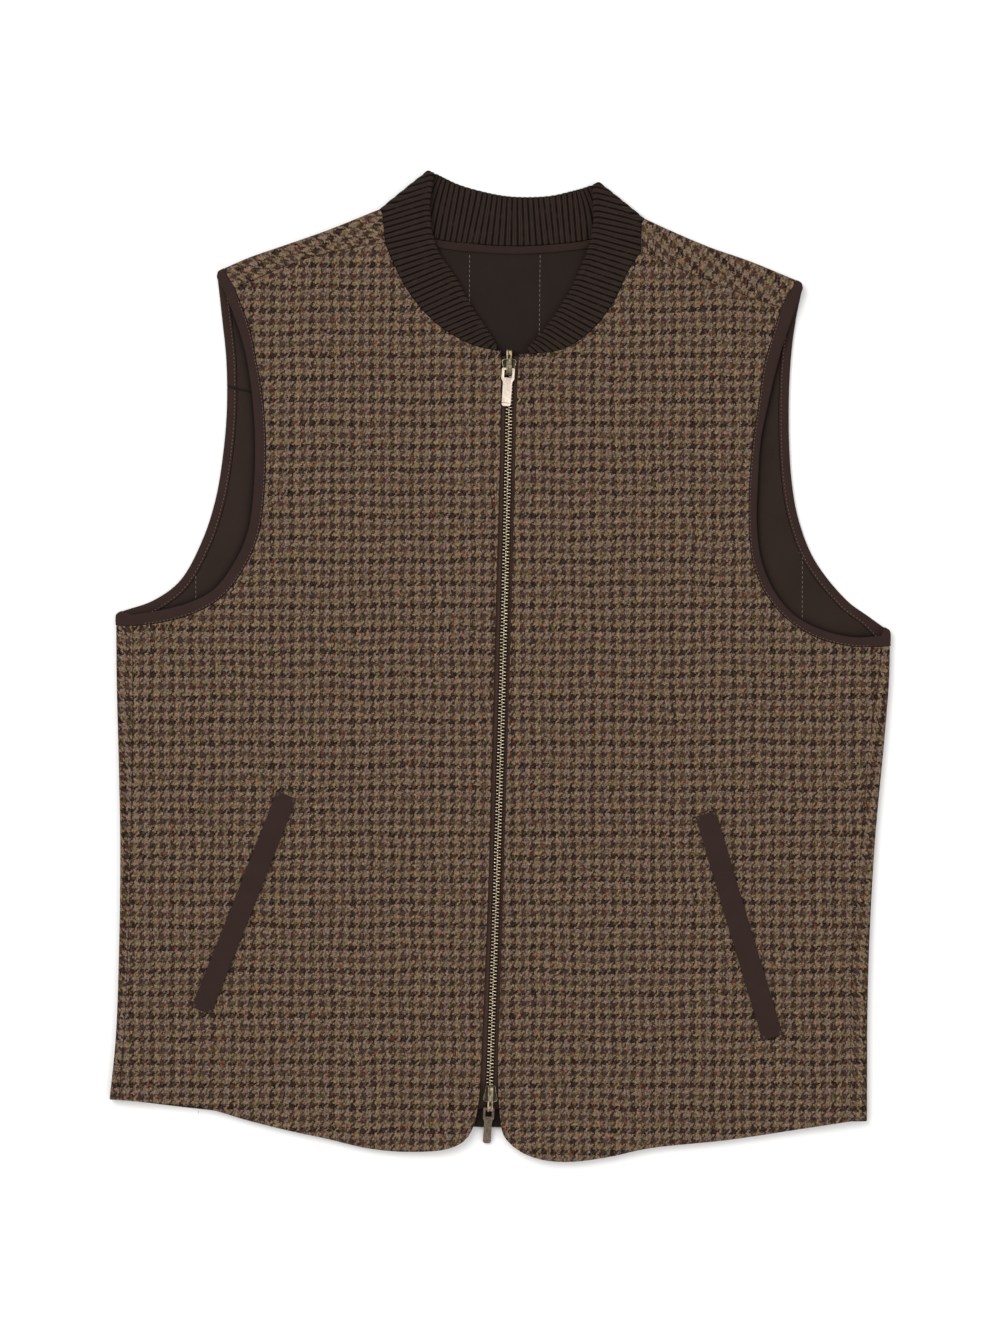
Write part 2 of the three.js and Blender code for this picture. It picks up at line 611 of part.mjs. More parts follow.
// The collar's stations from the right front's zip end, over the back, to the left front's
function collarStations() {
  const stations = [];
  const top = COLLAR / 2 + 2 * COLLAR_FOLD_RADIUS;
  const front = (side) => {
    const line = lines[side];
    const list = line.neckFront.map(({ seam, free }, k) => {
      const settle = smoothstep(k, 0, 3);
      const seamZ = lerp(top, Math.max(seam.z, 6.4), settle);
      const freeZ = lerp(top, Math.max(seam.z - 0.8, 5.9), settle);
      return { seam: seam.clone().setZ(seamZ), free: free.clone().setZ(freeZ),
        outer: new THREE.Vector3(0, 0, 1), front: 1 };
    });
    const foldSeam = line.shoulderFold[SHOULDER_STEPS];
    const middle = foldSeam.clone().lerp(list[0].seam, 0.5).setZ(top);
    const shoulder = collarShoulder[side];
    list.unshift({ seam: middle, free: new THREE.Vector3(shoulder.x, shoulder.y, top),
      outer: new THREE.Vector3(0, 0, 1), front: 1 });
    return list;
  };
  const fold = (side, station) => {
    const free = station.free.clone();
    const seam = station.seam.clone();
    const run = free.clone().sub(seam).setZ(0).normalize();
    const square = new THREE.Vector2(-run.y, run.x);
    if (square.y < 0) square.negate();
    const turns = [];
    for (let k = FOLD_STEPS; k >= 1; k -= 1) {
      const turn = (Math.PI * k) / FOLD_STEPS;
      const z = COLLAR / 2 + COLLAR_FOLD_RADIUS * (1 - Math.cos(turn));
      const reach = COLLAR_FOLD_RADIUS * Math.sin(turn);
      const neck = foldOutward[side].neck;
      turns.push({
        seam: new THREE.Vector3(seam.x + neck.x * reach, seam.y + neck.y * reach, z),
        free: new THREE.Vector3(free.x + square.x * reach, free.y + square.y * reach, z),
        outer: new THREE.Vector3(square.x * Math.sin(turn), square.y * Math.sin(turn), -Math.cos(turn)),
        front: k / FOLD_STEPS,
      });
    }
    return turns;
  };
  stations.push(...front('right').reverse(), ...fold('right', neckBack[0]));
  neckBack.forEach(({ seam, free }) => stations.push({
    seam: seam.clone().setZ(COLLAR / 2), free: free.clone(), outer: new THREE.Vector3(0, 0, -1), front: 0 }));
  stations.push(...fold('left', neckBack[NECK_BACK_STEPS]).reverse(), ...front('left'));
  return stations;
}

// The collar: a rounded section lofted round the neck, its ribs raised on the face that shows
function collar() {
  const stations = collarStations();
  const rings = [];
  const ribbed = (a, b, t, crest) => {
    const seam = a.seam.clone().lerp(b.seam, t);
    const free = a.free.clone().lerp(b.free, t);
    const outer = a.outer.clone().lerp(b.outer, t).normalize();
    const front = lerp(a.front, b.front, t);
    const across = free.clone().sub(seam);
    const width = across.length();
    across.divideScalar(width);
    const drop = crest ? 0 : RIB_DEPTH;
    const half = COLLAR / 2;
    const outerHalf = half - drop * front;
    const innerHalf = half - drop * (1 - front);
    const round = 1.5;
    const section = [[COLLAR_GAP, outerHalf], [width * 0.5, outerHalf], [width - round, outerHalf],
      [width, outerHalf * 0.5], [width, -innerHalf * 0.5], [width - round, -innerHalf],
      [width * 0.5, -innerHalf], [COLLAR_GAP, -innerHalf]];
    rings.push(section.map(([w, h]) => seam.clone().addScaledVector(across, w).addScaledVector(outer, h)));
  };
  let crest = true;
  for (let s = 0; s + 1 < stations.length; s += 1) {
    const a = stations[s];
    const b = stations[s + 1];
    const length = a.seam.clone().lerp(a.free, 0.5).distanceTo(b.seam.clone().lerp(b.free, 0.5));
    const columns = Math.max(1, Math.round(length / (RIB_PITCH / 2)));
    for (let c = 0; c < columns; c += 1) {
      ribbed(a, b, c / columns, crest);
      crest = !crest;
    }
  }
  const last = stations[stations.length - 1];
  ribbed(last, last, 0, true);
  return loft(rings, false);
}

// A welt follows the front under it: the front's own height, moved out clear of its slopes
function pocketWelt(side) {
  const { x, y, length, width, slant } = welts[side];
  const along = new THREE.Vector2(Math.sin(radians(slant)), Math.cos(radians(slant)));
  const across = new THREE.Vector2(along.y, -along.x);
  const lengthSteps = 14;
  const widthSteps = 2;
  const grid = [];
  for (let j = 0; j <= lengthSteps; j += 1) {
    const row = [];
    for (let i = 0; i <= widthSteps; i += 1) {
      const w = (i / widthSteps - 0.5) * width;
      const l = (j / lengthSteps) * length;
      const px = x + along.x * l + across.x * w;
      const py = y + along.y * l + across.y * w;
      const z = frontHeight(px, py) + (TWEED + WELT) / 2 + WELT_CLEAR;
      row.push(new THREE.Vector3(px, py, z));
    }
    grid.push(row);
  }
  const body = sheet();
  body.add(grid);
  return thicken(body, WELT);
}

// A ribbon that follows the middle of the zip between two offsets
function zipRibbon(offsetA, offsetB, top, foot, bottom, height) {
  const steps = 14;
  const levels = [...Array(steps + 1).keys()].map((k) => lerp(foot, top, k / steps));
  const rings = levels.map((y) => {
    const corners = [[offsetA, bottom], [offsetB, bottom], [offsetB, bottom + height], [offsetA, bottom + height]];
    return corners.map(([offset, z]) => zipPoint(y, offset).setZ(z));
  });
  return loft(rings, false);
}

// Solid of a geometry, and back
function solid(geometry) {
  const bare = geometry.clone();
  bare.deleteAttribute('normal');
  bare.deleteAttribute('uv');
  const merged = mergeVertices(bare, 1e-4);
  return new wasm.Manifold(new wasm.Mesh({
    numProp: 3,
    vertProperties: new Float32Array(merged.attributes.position.array),
    triVerts: new Uint32Array(merged.index.array),
  }));
}
function geometryOf(manifold) {
  const { vertProperties, triVerts } = manifold.getMesh();
  const geometry = new THREE.BufferGeometry();
  geometry.setAttribute('position', new THREE.BufferAttribute(new Float32Array(vertProperties), 3));
  geometry.setIndex(new THREE.BufferAttribute(new Uint32Array(triVerts), 1));
  geometry.computeVertexNormals();
  return geometry;
}
const joined = (geometries) => geometryOf(geometries.map(solid).reduce((sum, next) => sum.add(next)));

// Half-widths of a slider's plates from its narrow end to its shoulders
const sliderPlan = table('along half', [
  [0, 3.2], [0.6, 3.6], [4, 3.9], [8, 4.8], [9.6, 5.25], [10.9, 4.5], [SLIDER_SHOULDER, 3.0]]);

// A slider along +Y: two plates with side flanges, the neck that joins them, and the bridge
function slider() {
  const outline = [
    ...sliderPlan.map(({ along, half }) => new THREE.Vector2(half, along)),
    ...[...sliderPlan].reverse().map(({ along, half }) => new THREE.Vector2(-half, along)),
  ];
  const low = flatPiece(outline, PLATE_LOW_Z, PLATE);
  const high = flatPiece(outline, PLATE_HIGH_Z, PLATE);
  const neckHalf = BRIDGE_WIDTH / 2;
  const neckStart = SLIDER_SHOULDER - 0.4;
  const neckHeight = PLATE_HIGH_Z + PLATE - PLATE_LOW_Z;
  const neck = new THREE.BoxGeometry(2 * neckHalf, SLIDER_LENGTH - neckStart, neckHeight)
    .translate(0, (SLIDER_LENGTH + neckStart) / 2, PLATE_LOW_Z + neckHeight / 2);
  const flanges = [-1, 1].map((sign) => {
    const inner = CHAIN_WIDTH / 2 + SEAM_GAP;
    const plan = [[inner, 0.8], [3.5, 0.8], [3.8, 4], [4.7, 8], [4.7, 9.4], [inner, 9.4]]
      .map(([x, y]) => new THREE.Vector2(sign * x, y));
    return flatPiece(sign > 0 ? plan : plan.reverse(), ZIP_TAPE_Z + TAPE + SEAM_GAP, 1);
  });
  const arch = new THREE.Shape([
    [0, PLATE_HIGH_Z + 0.4], [0, BRIDGE_TOP - 1.2], [1.2, BRIDGE_TOP], [SLIDER_LENGTH - 1.2, BRIDGE_TOP],
    [SLIDER_LENGTH, BRIDGE_TOP - 1.2], [SLIDER_LENGTH, PLATE_HIGH_Z + 0.4],
    [SLIDER_LENGTH - BRIDGE_FOOT, PLATE_HIGH_Z + 0.4],
    [SLIDER_LENGTH - BRIDGE_FOOT, BRIDGE_TOP - BRIDGE_WALL], [BRIDGE_FOOT, BRIDGE_TOP - BRIDGE_WALL],
    [BRIDGE_FOOT, PLATE_HIGH_Z + 0.4]].map(([s, z]) => new THREE.Vector2(s, z)));
  const bridge = new THREE.ExtrudeGeometry(arch, { depth: BRIDGE_WIDTH, bevelEnabled: false })
    .applyMatrix4(new THREE.Matrix4().makeBasis(
      new THREE.Vector3(0, 1, 0), new THREE.Vector3(0, 0, 1), new THREE.Vector3(1, 0, 0)))
    .translate(-BRIDGE_WIDTH / 2, 0, 0);
  return joined([low, high, neck, ...flanges, bridge]);
}

// A pull tab along -Y from its crossbar: a windowed head and a bar with rounded corners
function pullTab() {
  const crossbar = 0.75;
  const outline = table('along half', [
    [-crossbar, PULL_HEAD_HALF - 0.6], [-crossbar + 0.6, PULL_HEAD_HALF], [7.4, PULL_HEAD_HALF],
    [9.2, PULL_BODY_HALF], [PULL_LENGTH - 1.4, PULL_BODY_HALF], [PULL_LENGTH - 0.5, PULL_BODY_HALF - 0.6],
    [PULL_LENGTH, PULL_BODY_HALF - 1.5]]);
  const shape = new THREE.Shape([
    ...outline.map(({ along, half }) => new THREE.Vector2(-half, -along)),
    ...[...outline].reverse().map(({ along, half }) => new THREE.Vector2(half, -along)),
  ]);
  const windowHalf = 2.65;
  const windowEnd = 6;
  shape.holes.push(new THREE.Path([
    [-windowHalf, -crossbar], [windowHalf, -crossbar], [windowHalf, -windowEnd],
    [-windowHalf, -windowEnd]].map(([x, y]) => new THREE.Vector2(x, y))));
  const geometry = new THREE.ExtrudeGeometry(shape, { depth: PULL_THICK, bevelEnabled: false });
  return geometry.translate(0, 0, -PULL_THICK / 2);
}

// Lean of the zip at a height, as the turn about Z from straight up
const lean = (y) => Math.atan2(zipX(y - 10) - zipX(y + 10), 20);

function place(mesh, y, along, turned) {
  const direction = turned ? -1 : 1;
  const turn = lean(y);
  mesh.position.set(
    zipX(y) - Math.sin(turn) * along * direction, y + Math.cos(turn) * along * direction, 0);
  mesh.rotation.set(0, 0, turn);
}

const materials = {
  tweed: new THREE.MeshStandardMaterial({ color: 0x5b4a3c, roughness: 0.95 }),
  lining: new THREE.MeshStandardMaterial({ color: 0x2d221e, roughness: 0.6 }),
  twill: new THREE.MeshStandardMaterial({ color: 0x3b2c28, roughness: 0.85 }),
  rib: new THREE.MeshStandardMaterial({ color: 0x2a211e, roughness: 0.95 }),
  tape: new THREE.MeshStandardMaterial({ color: 0x2b2220, roughness: 0.9 }),
  brass: new THREE.MeshStandardMaterial({ color: 0x9c8558, roughness: 0.35, metalness: 1 }),
  nickel: new THREE.MeshStandardMaterial({ color: 0xb9a595, roughness: 0.3, metalness: 1 }),
};

const waistcoat = new THREE.Group();
const piece = (name, geometry, material) => {
  const mesh = new THREE.Mesh(geometry, material);
  mesh.name = name;
  waistcoat.add(mesh);
  return mesh;
};

piece('back_panel', backPanel(), materials.tweed);
piece('back_lining', backLining(), materials.lining);
piece('neck_tape', neckTape(), materials.twill);
piece('collar_rib', collar(), materials.rib);
for (const side of SIDES) {
  piece(`front_${side}`, frontPanel(side), materials.tweed);
  piece(`armhole_binding_${side}`, armholeBinding(side), materials.twill);
  piece(`pocket_welt_${side}`, pocketWelt(side), materials.twill);
  const sign = lines[side].sign;
  const tape = zipRibbon(sign * TAPE_INNER, sign * TAPE_OUTER, ZIP_TAPE_TOP, ZIP_TAPE_FOOT, ZIP_TAPE_Z, TAPE);
  piece(`zip_tape_${side}`, tape, materials.tape);
}
const chainHalf = CHAIN_WIDTH / 2;
piece('zip_chain', zipRibbon(-chainHalf, chainHalf, CHAIN_TOP, CHAIN_FOOT, CHAIN_Z, CHAIN_HEIGHT), materials.brass);

place(piece('zip_slider_upper', slider(), materials.brass), UPPER_SLIDER_Y, 0, false);
const lowerSlider = piece('zip_slider_lower', slider(), materials.brass);
place(lowerSlider, LOWER_SLIDER_Y, 0, true);
lowerSlider.rotation.z += Math.PI;

const addPull = (name, y, along, turned, slope) => {
  const pull = piece(name, pullTab().rotateX(radians(slope)), materials.nickel);
  place(pull, y, along, turned);
  pull.position.z = PULL_AXIS_Z;
};
addPull('zip_pull_upper', UPPER_SLIDER_Y, UPPER_PULL_ALONG, false, UPPER_PULL_SLOPE);
addPull('zip_pull_lower', LOWER_SLIDER_Y, LOWER_PULL_ALONG, true, LOWER_PULL_SLOPE);

export default waistcoat;
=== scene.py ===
import math

import bpy
import numpy as np
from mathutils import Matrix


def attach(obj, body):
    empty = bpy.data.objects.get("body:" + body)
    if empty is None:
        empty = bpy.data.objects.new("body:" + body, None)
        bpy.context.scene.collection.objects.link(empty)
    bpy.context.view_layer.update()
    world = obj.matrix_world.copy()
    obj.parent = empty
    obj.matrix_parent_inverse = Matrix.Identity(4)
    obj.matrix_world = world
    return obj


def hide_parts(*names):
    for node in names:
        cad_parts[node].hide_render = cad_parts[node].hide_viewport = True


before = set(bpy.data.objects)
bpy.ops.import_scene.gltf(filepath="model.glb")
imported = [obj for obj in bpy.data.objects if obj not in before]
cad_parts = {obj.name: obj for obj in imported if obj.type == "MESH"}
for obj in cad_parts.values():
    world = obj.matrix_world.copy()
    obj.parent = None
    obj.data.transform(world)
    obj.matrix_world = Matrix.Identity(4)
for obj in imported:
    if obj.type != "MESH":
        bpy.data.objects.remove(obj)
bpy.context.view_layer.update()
MM = 0.001

# Surface, lamps and camera
# The waistcoat lies on a plain pale surface under large soft lamps. The camera looks straight
# down on it from high up, and its picture is as wide as 1000 of the photograph's 0.7 mm pixels.
PICTURE_HEIGHT = 1334 * 0.7 * MM
CAMERA_HEIGHT = 3.2
CAMERA_CENTRE = (0.0, -0.7 * MM)
SENSOR = 36.0
SURFACE_HALF = 5.0
SURFACE_DROP = 0.3 * MM


def put(tree, kind, inputs=None, output=0, **settings):
    """Adds a shader node with its settings and inputs, and gives back one of its outputs."""
    new = tree.nodes.new("ShaderNode" + kind)
    for key, value in settings.items():
        setattr(new, key, value)
    for key, value in (inputs or {}).items():
        if isinstance(value, bpy.types.NodeSocket):
            tree.links.new(value, new.inputs[key])
        else:
            new.inputs[key].default_value = value
    return new.outputs[output]


def new_material(name, links=None, **sockets):
    """A material whose constant values stand on the shader's own sockets; links takes the tree and
    gives the sockets that change over the surface."""
    material = bpy.data.materials.new(name)
    material.use_nodes = True
    tree = material.node_tree
    shader = tree.nodes["Principled BSDF"]
    for key, value in sockets.items():
        shader.inputs[key.replace("_", " ")].default_value = value
    for key, value in (links(tree) if links else {}).items():
        tree.links.new(value, shader.inputs[key])
    return material


def surface_finish(tree):
    """Matt pale paint with a faint mottle."""
    place = put(tree, "TexCoord", output="Object")
    mottle = put(tree, "TexNoise", {"Vector": place, "Scale": 9.0, "Detail": 3.0})
    shade = put(tree, "MapRange", {"Value": mottle, "To Min": 0.80, "To Max": 0.86})
    return {"Roughness": shade}


surface_mesh = bpy.data.meshes.new("surface")
surface_mesh.from_pydata(
    [(x * SURFACE_HALF, y * SURFACE_HALF, -SURFACE_DROP)
     for x, y in ((-1, -1), (1, -1), (1, 1), (-1, 1))], [], [(0, 1, 2, 3)])
surface = bpy.data.objects.new("surface", surface_mesh)
surface_mesh.materials.append(new_material("pale_surface", surface_finish, Base_Color=(0.96, 0.96, 0.955, 1)))
bpy.context.scene.collection.objects.link(surface)


def soft_lamp(name, place, size, watts):
    """A square lamp that faces the middle of the waistcoat."""
    data = bpy.data.lights.new(name, "AREA")
    data.shape = "SQUARE"
    data.size = size
    data.energy = watts
    lamp = bpy.data.objects.new(name, data)
    lamp.location = place
    lamp.rotation_euler = (-lamp.location).to_track_quat("-Z", "Y").to_euler()
    bpy.context.scene.collection.objects.link(lamp)


soft_lamp("key_lamp", (-1.1, 1.0, 2.3), 1.8, 44.0)
soft_lamp("fill_lamp", (1.4, -0.7, 2.3), 1.8, 18.0)

world = bpy.data.worlds.new("studio")
world.use_nodes = True
world.node_tree.nodes["Background"].inputs["Color"].default_value = (1.0, 0.99, 0.98, 1)
world.node_tree.nodes["Background"].inputs["Strength"].default_value = 0.68
bpy.context.scene.world = world
bpy.context.scene.view_settings.view_transform = "Standard"

camera_data = bpy.data.cameras.new("camera")
camera_data.sensor_width = SENSOR
camera_data.lens = SENSOR * CAMERA_HEIGHT / PICTURE_HEIGHT
camera = bpy.data.objects.new("camera", camera_data)
camera.location = (*CAMERA_CENTRE, CAMERA_HEIGHT)
bpy.context.scene.collection.objects.link(camera)
bpy.context.scene.camera = camera

# Back panel
# One piece of wool tweed, 2 mm thick. It lies flat on the surface and is turned forward over the
# side folds and over the shoulders, where it is seamed to the fronts on top of the layers.
TWEED = 2.0 * MM
SEAM_GAP = 0.2 * MM
BACK_Z = TWEED / 2
FOLD_RADIUS = 3.3 * MM
FRONT_Z = BACK_Z + 2 * FOLD_RADIUS
SIDE_ROWS = 72
ARMHOLE_BACK_ROWS = 88
ARMHOLE_FRONT_ROWS = 112
SHOULDER_COLUMNS = 40
NECK_COLUMNS = 64
FOLD_STEPS = 12
TWEED_EDGE = 0.9 * MM
UP = np.array([0.0, 0.0, 1.0])
SIDES = {"right": -1, "left": 1}


def table(columns, rows, unit=MM):
    """The named columns of a table in millimetres, as arrays in metres."""
    return dict(zip(columns.split(), np.array(rows, float).T * unit))


side_folds = {
    "right": table("y outer seam", [
        [28, -268.3, -256.5], [-10, -268.0, -256.5], [-66, -266.6, -256.8], [-127, -265.5, -258.0],
        [-200, -266.4, -260.0], [-262, -268.8, -262.8], [-303, -273.0, -266.4]]),
    "left": table("y outer seam", [
        [13.5, 272.6, 266.2], [-10, 272.0, 264.0], [-44, 269.4, 259.2], [-117, 262.6, 253.0],
        [-175, 259.0, 248.2], [-235, 257.0, 245.2], [-318, 256.6, 245.0]])}
armhole_back = {
    "right": table("free_x free_y seam_x seam_y", [
        [-264.0, 38.4, -264.0, 28.0], [-241.9, 46.2, -238.5, 39.0], [-223.7, 59.9, -218.4, 55.0],
        [-208.3, 87.9, -201.8, 85.0], [-199.2, 115.9, -192.4, 114.2], [-194.3, 143.9, -187.3, 143.4],
        [-191.2, 178.0, -184.2, 178.0], [-191.5, 213.9, -184.5, 214.3], [-194.3, 241.9, -187.4, 242.6],
        [-197.5, 270.5, -191.2, 274.0]]),
    "left": table("free_x free_y seam_x seam_y", [
        [268.4, 27.0, 268.4, 13.5], [257.6, 34.8, 253.6, 28.6], [242.6, 45.9, 238.2, 40.4],
        [220.2, 73.9, 214.0, 70.5], [209.0, 101.9, 202.3, 100.0], [204.0, 129.9, 197.0, 129.0],
        [202.0, 172.0, 195.0, 172.0], [203.4, 213.9, 196.4, 214.3], [206.9, 241.9, 200.0, 242.8],
        [211.2, 262.6, 205.1, 265.8]])}
shoulder_fold = {
    "right": table("x y", [
        [-191.2, 274.0], [-174.4, 281.3], [-146.4, 291.0], [-118.4, 300.9], [-82.0, 315.6]]),
    "left": table("x y", [
        [205.1, 265.8], [172.4, 279.2], [144.4, 289.0], [116.4, 300.9], [98.9, 309.0]])}
shoulder_seam = {
    "right": table("x y", [
        [-185.2, 263.5], [-157.2, 276.2], [-139.7, 283.2], [-118.7, 288.8], [-97.7, 293.0],
        [-80.2, 295.8]]),
    "left": table("x y", [
        [196.2, 250.2], [175.4, 257.3], [154.4, 265.7], [140.4, 271.3], [119.4, 279.7],
        [98.4, 289.5]])}
fold_outward = {
    "right": {"arm": np.array([-0.37, 0.93]), "neck": np.array([-0.5, 0.866])},
    "left": {"arm": np.array([0.38, 0.925]), "neck": np.array([0.5, 0.866])}}
collar_back = table("seam_x seam_y free_x free_y", [
    [-82.0, 315.6, -45.6, 344.9], [-62.6, 304.9, -38.4, 341.4], [-41.7, 297.9, -27.7, 336.5],
    [-17.2, 295.1, -10.2, 331.5], [10.9, 293.7, 10.9, 328.3], [38.9, 295.1, 34.0, 329.0],
    [62.0, 297.9, 49.8, 332.2], [84.4, 303.5, 57.6, 334.3], [98.9, 309.0, 64.4, 336.8]])
back_hem = table("x y", [
    [-268.7, -303.0], [-190.0, -312.0], [-90.0, -320.0], [-10.0, -322.6], [80.0, -322.6],
    [180.0, -319.8], [252.3, -318.0]])


def smooth(rows, steps, x="x", y="y"):
    """A curve through a table's rows, read at even shares of them. Between two rows it is a cubic
    whose end slopes weigh the neighbouring spans by the square root of their length."""
    knots = np.stack([rows[x], rows[y]], 1)
    share = np.linspace(0, len(knots) - 1, steps + 1)
    span = np.minimum(share.astype(int), len(knots) - 2)
    w = (share - span)[:, None]
    ends = np.vstack([2 * knots[0] - knots[1], knots, 2 * knots[-1] - knots[-2]])
    p0, p1, p2, p3 = (ends[span + k] for k in range(4))
    d0, d1, d2 = (np.linalg.norm(b - a, axis=1)[:, None] ** 0.5 for a, b in ((p0, p1), (p1, p2), (p2, p3)))
    start = ((p1 - p0) / d0 - (p2 - p0) / (d0 + d1) + (p2 - p1) / d1) * d1
    end = ((p2 - p1) / d1 - (p3 - p1) / (d1 + d2) + (p3 - p2) / d2) * d1
    return ((2 * w**3 - 3 * w**2 + 1) * p1 + (w**3 - 2 * w**2 + w) * start
            + (3 * w**2 - 2 * w**3) * p2 + (w**3 - w**2) * end)


def lengths(line):
    """How far along a line of points each of them lies."""
    return np.concatenate([[0.0], np.cumsum(np.linalg.norm(np.diff(line, axis=0), axis=1))])


def respaced(line, steps):
    """The points of a line read again at even lengths."""
    along = lengths(line)
    places = np.linspace(0, along[-1], steps + 1)
    return np.stack([np.interp(places, along, column) for column in line.T], 1)


def even(rows, steps):
    """The smooth curve through a table's rows, read at even lengths."""
    return respaced(smooth(rows, 600), steps)


def raised(points, z):
    """Points of a plan lifted to a height."""
    return np.column_stack([points[:, 0], points[:, 1], np.broadcast_to(z, len(points))])


def patch(bottom, top, left, right):
    """Rows run straight from the left border to the right one, and take up the bends of the bottom
    and top borders, which fade with the square of the distance from them."""
    u = np.linspace(0, 1, len(bottom))[None, :, None]
    v = np.linspace(0, 1, len(left))[:, None, None]
    low = bottom - (bottom[0] * (1 - u[0]) + bottom[-1] * u[0])
    high = top - (top[0] * (1 - u[0]) + top[-1] * u[0])
    return left[:, None] * (1 - u) + right[:, None] * u + low * (1 - v) ** 2 + high * v**2


def wrapped(start, outward, seam, run_steps):
    """Half a turn over a fold and straight back to the seam, as rows of points, with each point's
    place on the unfolded cloth: its start moved outwards by the length of the way."""
    turn = np.linspace(0, np.pi, FOLD_STEPS + 1)[:, None, None]
    over = start + FOLD_RADIUS * (np.sin(turn) * outward + (1 - np.cos(turn)) * UP)
    share = np.linspace(0, 1, run_steps + 1)[1:, None, None]
    rows = np.concatenate([over, over[-1] * (1 - share) + seam * share])
    way = np.linalg.norm(np.diff(rows, axis=0), axis=2).cumsum(0)
    way = np.concatenate([np.zeros((1, len(start))), way])[..., None]
    return rows, (start + way * outward)[..., :2]


def grid_faces(rows, columns, start=0):
    """Four-sided faces between the points of a grid."""
    index = start + np.arange(rows * columns).reshape(rows, columns)
    corners = [index[:-1, :-1], index[:-1, 1:], index[1:, 1:], index[1:, :-1]]
    return np.stack(corners, -1).reshape(-1, 4)


def merged(blocks):
    """One mesh from grids that share their edges: points closer than a thousandth of a millimetre
    become one, and faces that lost a corner by it are dropped."""
    points = np.concatenate([grid.reshape(-1, 3) for grid, _ in blocks])
    places = np.concatenate([place.reshape(-1, 2) for _, place in blocks])
    starts = np.cumsum([0] + [grid.shape[0] * grid.shape[1] for grid, _ in blocks])
    faces = np.concatenate([grid_faces(*grid.shape[:2], start) for (grid, _), start in zip(blocks, starts)])
    keys = np.round(points / (0.001 * MM)).astype(np.int64)
    _, first, inverse = np.unique(keys, axis=0, return_index=True, return_inverse=True)
    faces = inverse.ravel()[faces]
    ordered = np.sort(faces, axis=1)
    whole = (ordered[:, 1:] != ordered[:, :-1]).all(1)
    return points[first], faces[whole], places[first]


def new_piece(name, points, faces, places, material, replaced, slot, body="cloth"):
    """A piece from arrays of points and faces. Its map holds each corner's place on the cloth in
    metres: places has a row for each point, or one for each corner of each face."""
    mesh = bpy.data.meshes.new(name)
    mesh.from_pydata(points.tolist(), [], faces if isinstance(faces, list) else faces.tolist())
    corners = np.empty(len(mesh.loops), np.int32)
    mesh.loops.foreach_get("vertex_index", corners)
    at_corners = places[corners] if len(places) == len(points) else places
    mesh.uv_layers.new(name="cloth").data.foreach_set("uv", at_corners.astype(np.float32).ravel())
    mesh.shade_smooth()
    mesh.materials.append(material)
    piece = bpy.data.objects.new(name, mesh)
    bpy.context.scene.collection.objects.link(piece)
    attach(piece, body)
    if replaced:
        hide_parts(replaced)
    return piece


def round_edges(piece, width, segments, angle):
    """Rounds the edges of a piece that bend by more than an angle in degrees."""
    rounding = piece.modifiers.new("rounded_edges", "BEVEL")
    rounding.width = width
    rounding.segments = segments
    rounding.limit_method = "ANGLE"
    rounding.angle_limit = math.radians(angle)


def give_wall(piece, thickness, edge):
    """Thickness to both sides of a sheet, its edges rounded."""
    wall = piece.modifiers.new("wall", "SOLIDIFY")
    wall.thickness = thickness
    wall.offset = 0
    round_edges(piece, edge, 3, 50)


def calc(tree, operation, a, b=0.0, c=0.0):
    """One step of arithmetic on shader values."""
    return put(tree, "Math", {0: a, 1: b, 2: c}, operation=operation)


def blend(tree, share, a, b, blend_type="MIX"):
    """A mix of two colours."""
    return put(tree, "Mix", {0: share, 6: a, 7: b}, output=2, data_type="RGBA", blend_type=blend_type)


def colour(red, green, blue):
    """A colour given in the 0 to 255 steps of a screen, as light."""
    steps = np.array([red, green, blue]) / 255
    light = np.where(steps > 0.04045, ((steps + 0.055) / 1.055) ** 2.4, steps / 12.92)
    return (*light.tolist(), 1.0)


def new_group(name, inputs, outputs):
    """A shader node group with named inputs and outputs; gives its tree and both its ends."""
    tree = bpy.data.node_groups.new(name, "ShaderNodeTree")
    for socket, kind in inputs.items():
        tree.interface.new_socket(socket, in_out="INPUT", socket_type="NodeSocket" + kind)
    for socket, kind in outputs.items():
        tree.interface.new_socket(socket, in_out="OUTPUT", socket_type="NodeSocket" + kind)
    return tree, tree.nodes.new("NodeGroupInput").outputs, tree.nodes.new("NodeGroupOutput").inputs


def use_group(tree, group, inputs):
    """Places a group in a material and gives its outputs."""
    node = tree.nodes.new("ShaderNodeGroup")
    node.node_tree = group
    for key, value in inputs.items():
        if isinstance(value, bpy.types.NodeSocket):
            tree.links.new(value, node.inputs[key])
        else:
            node.inputs[key].default_value = value
    return node.outputs


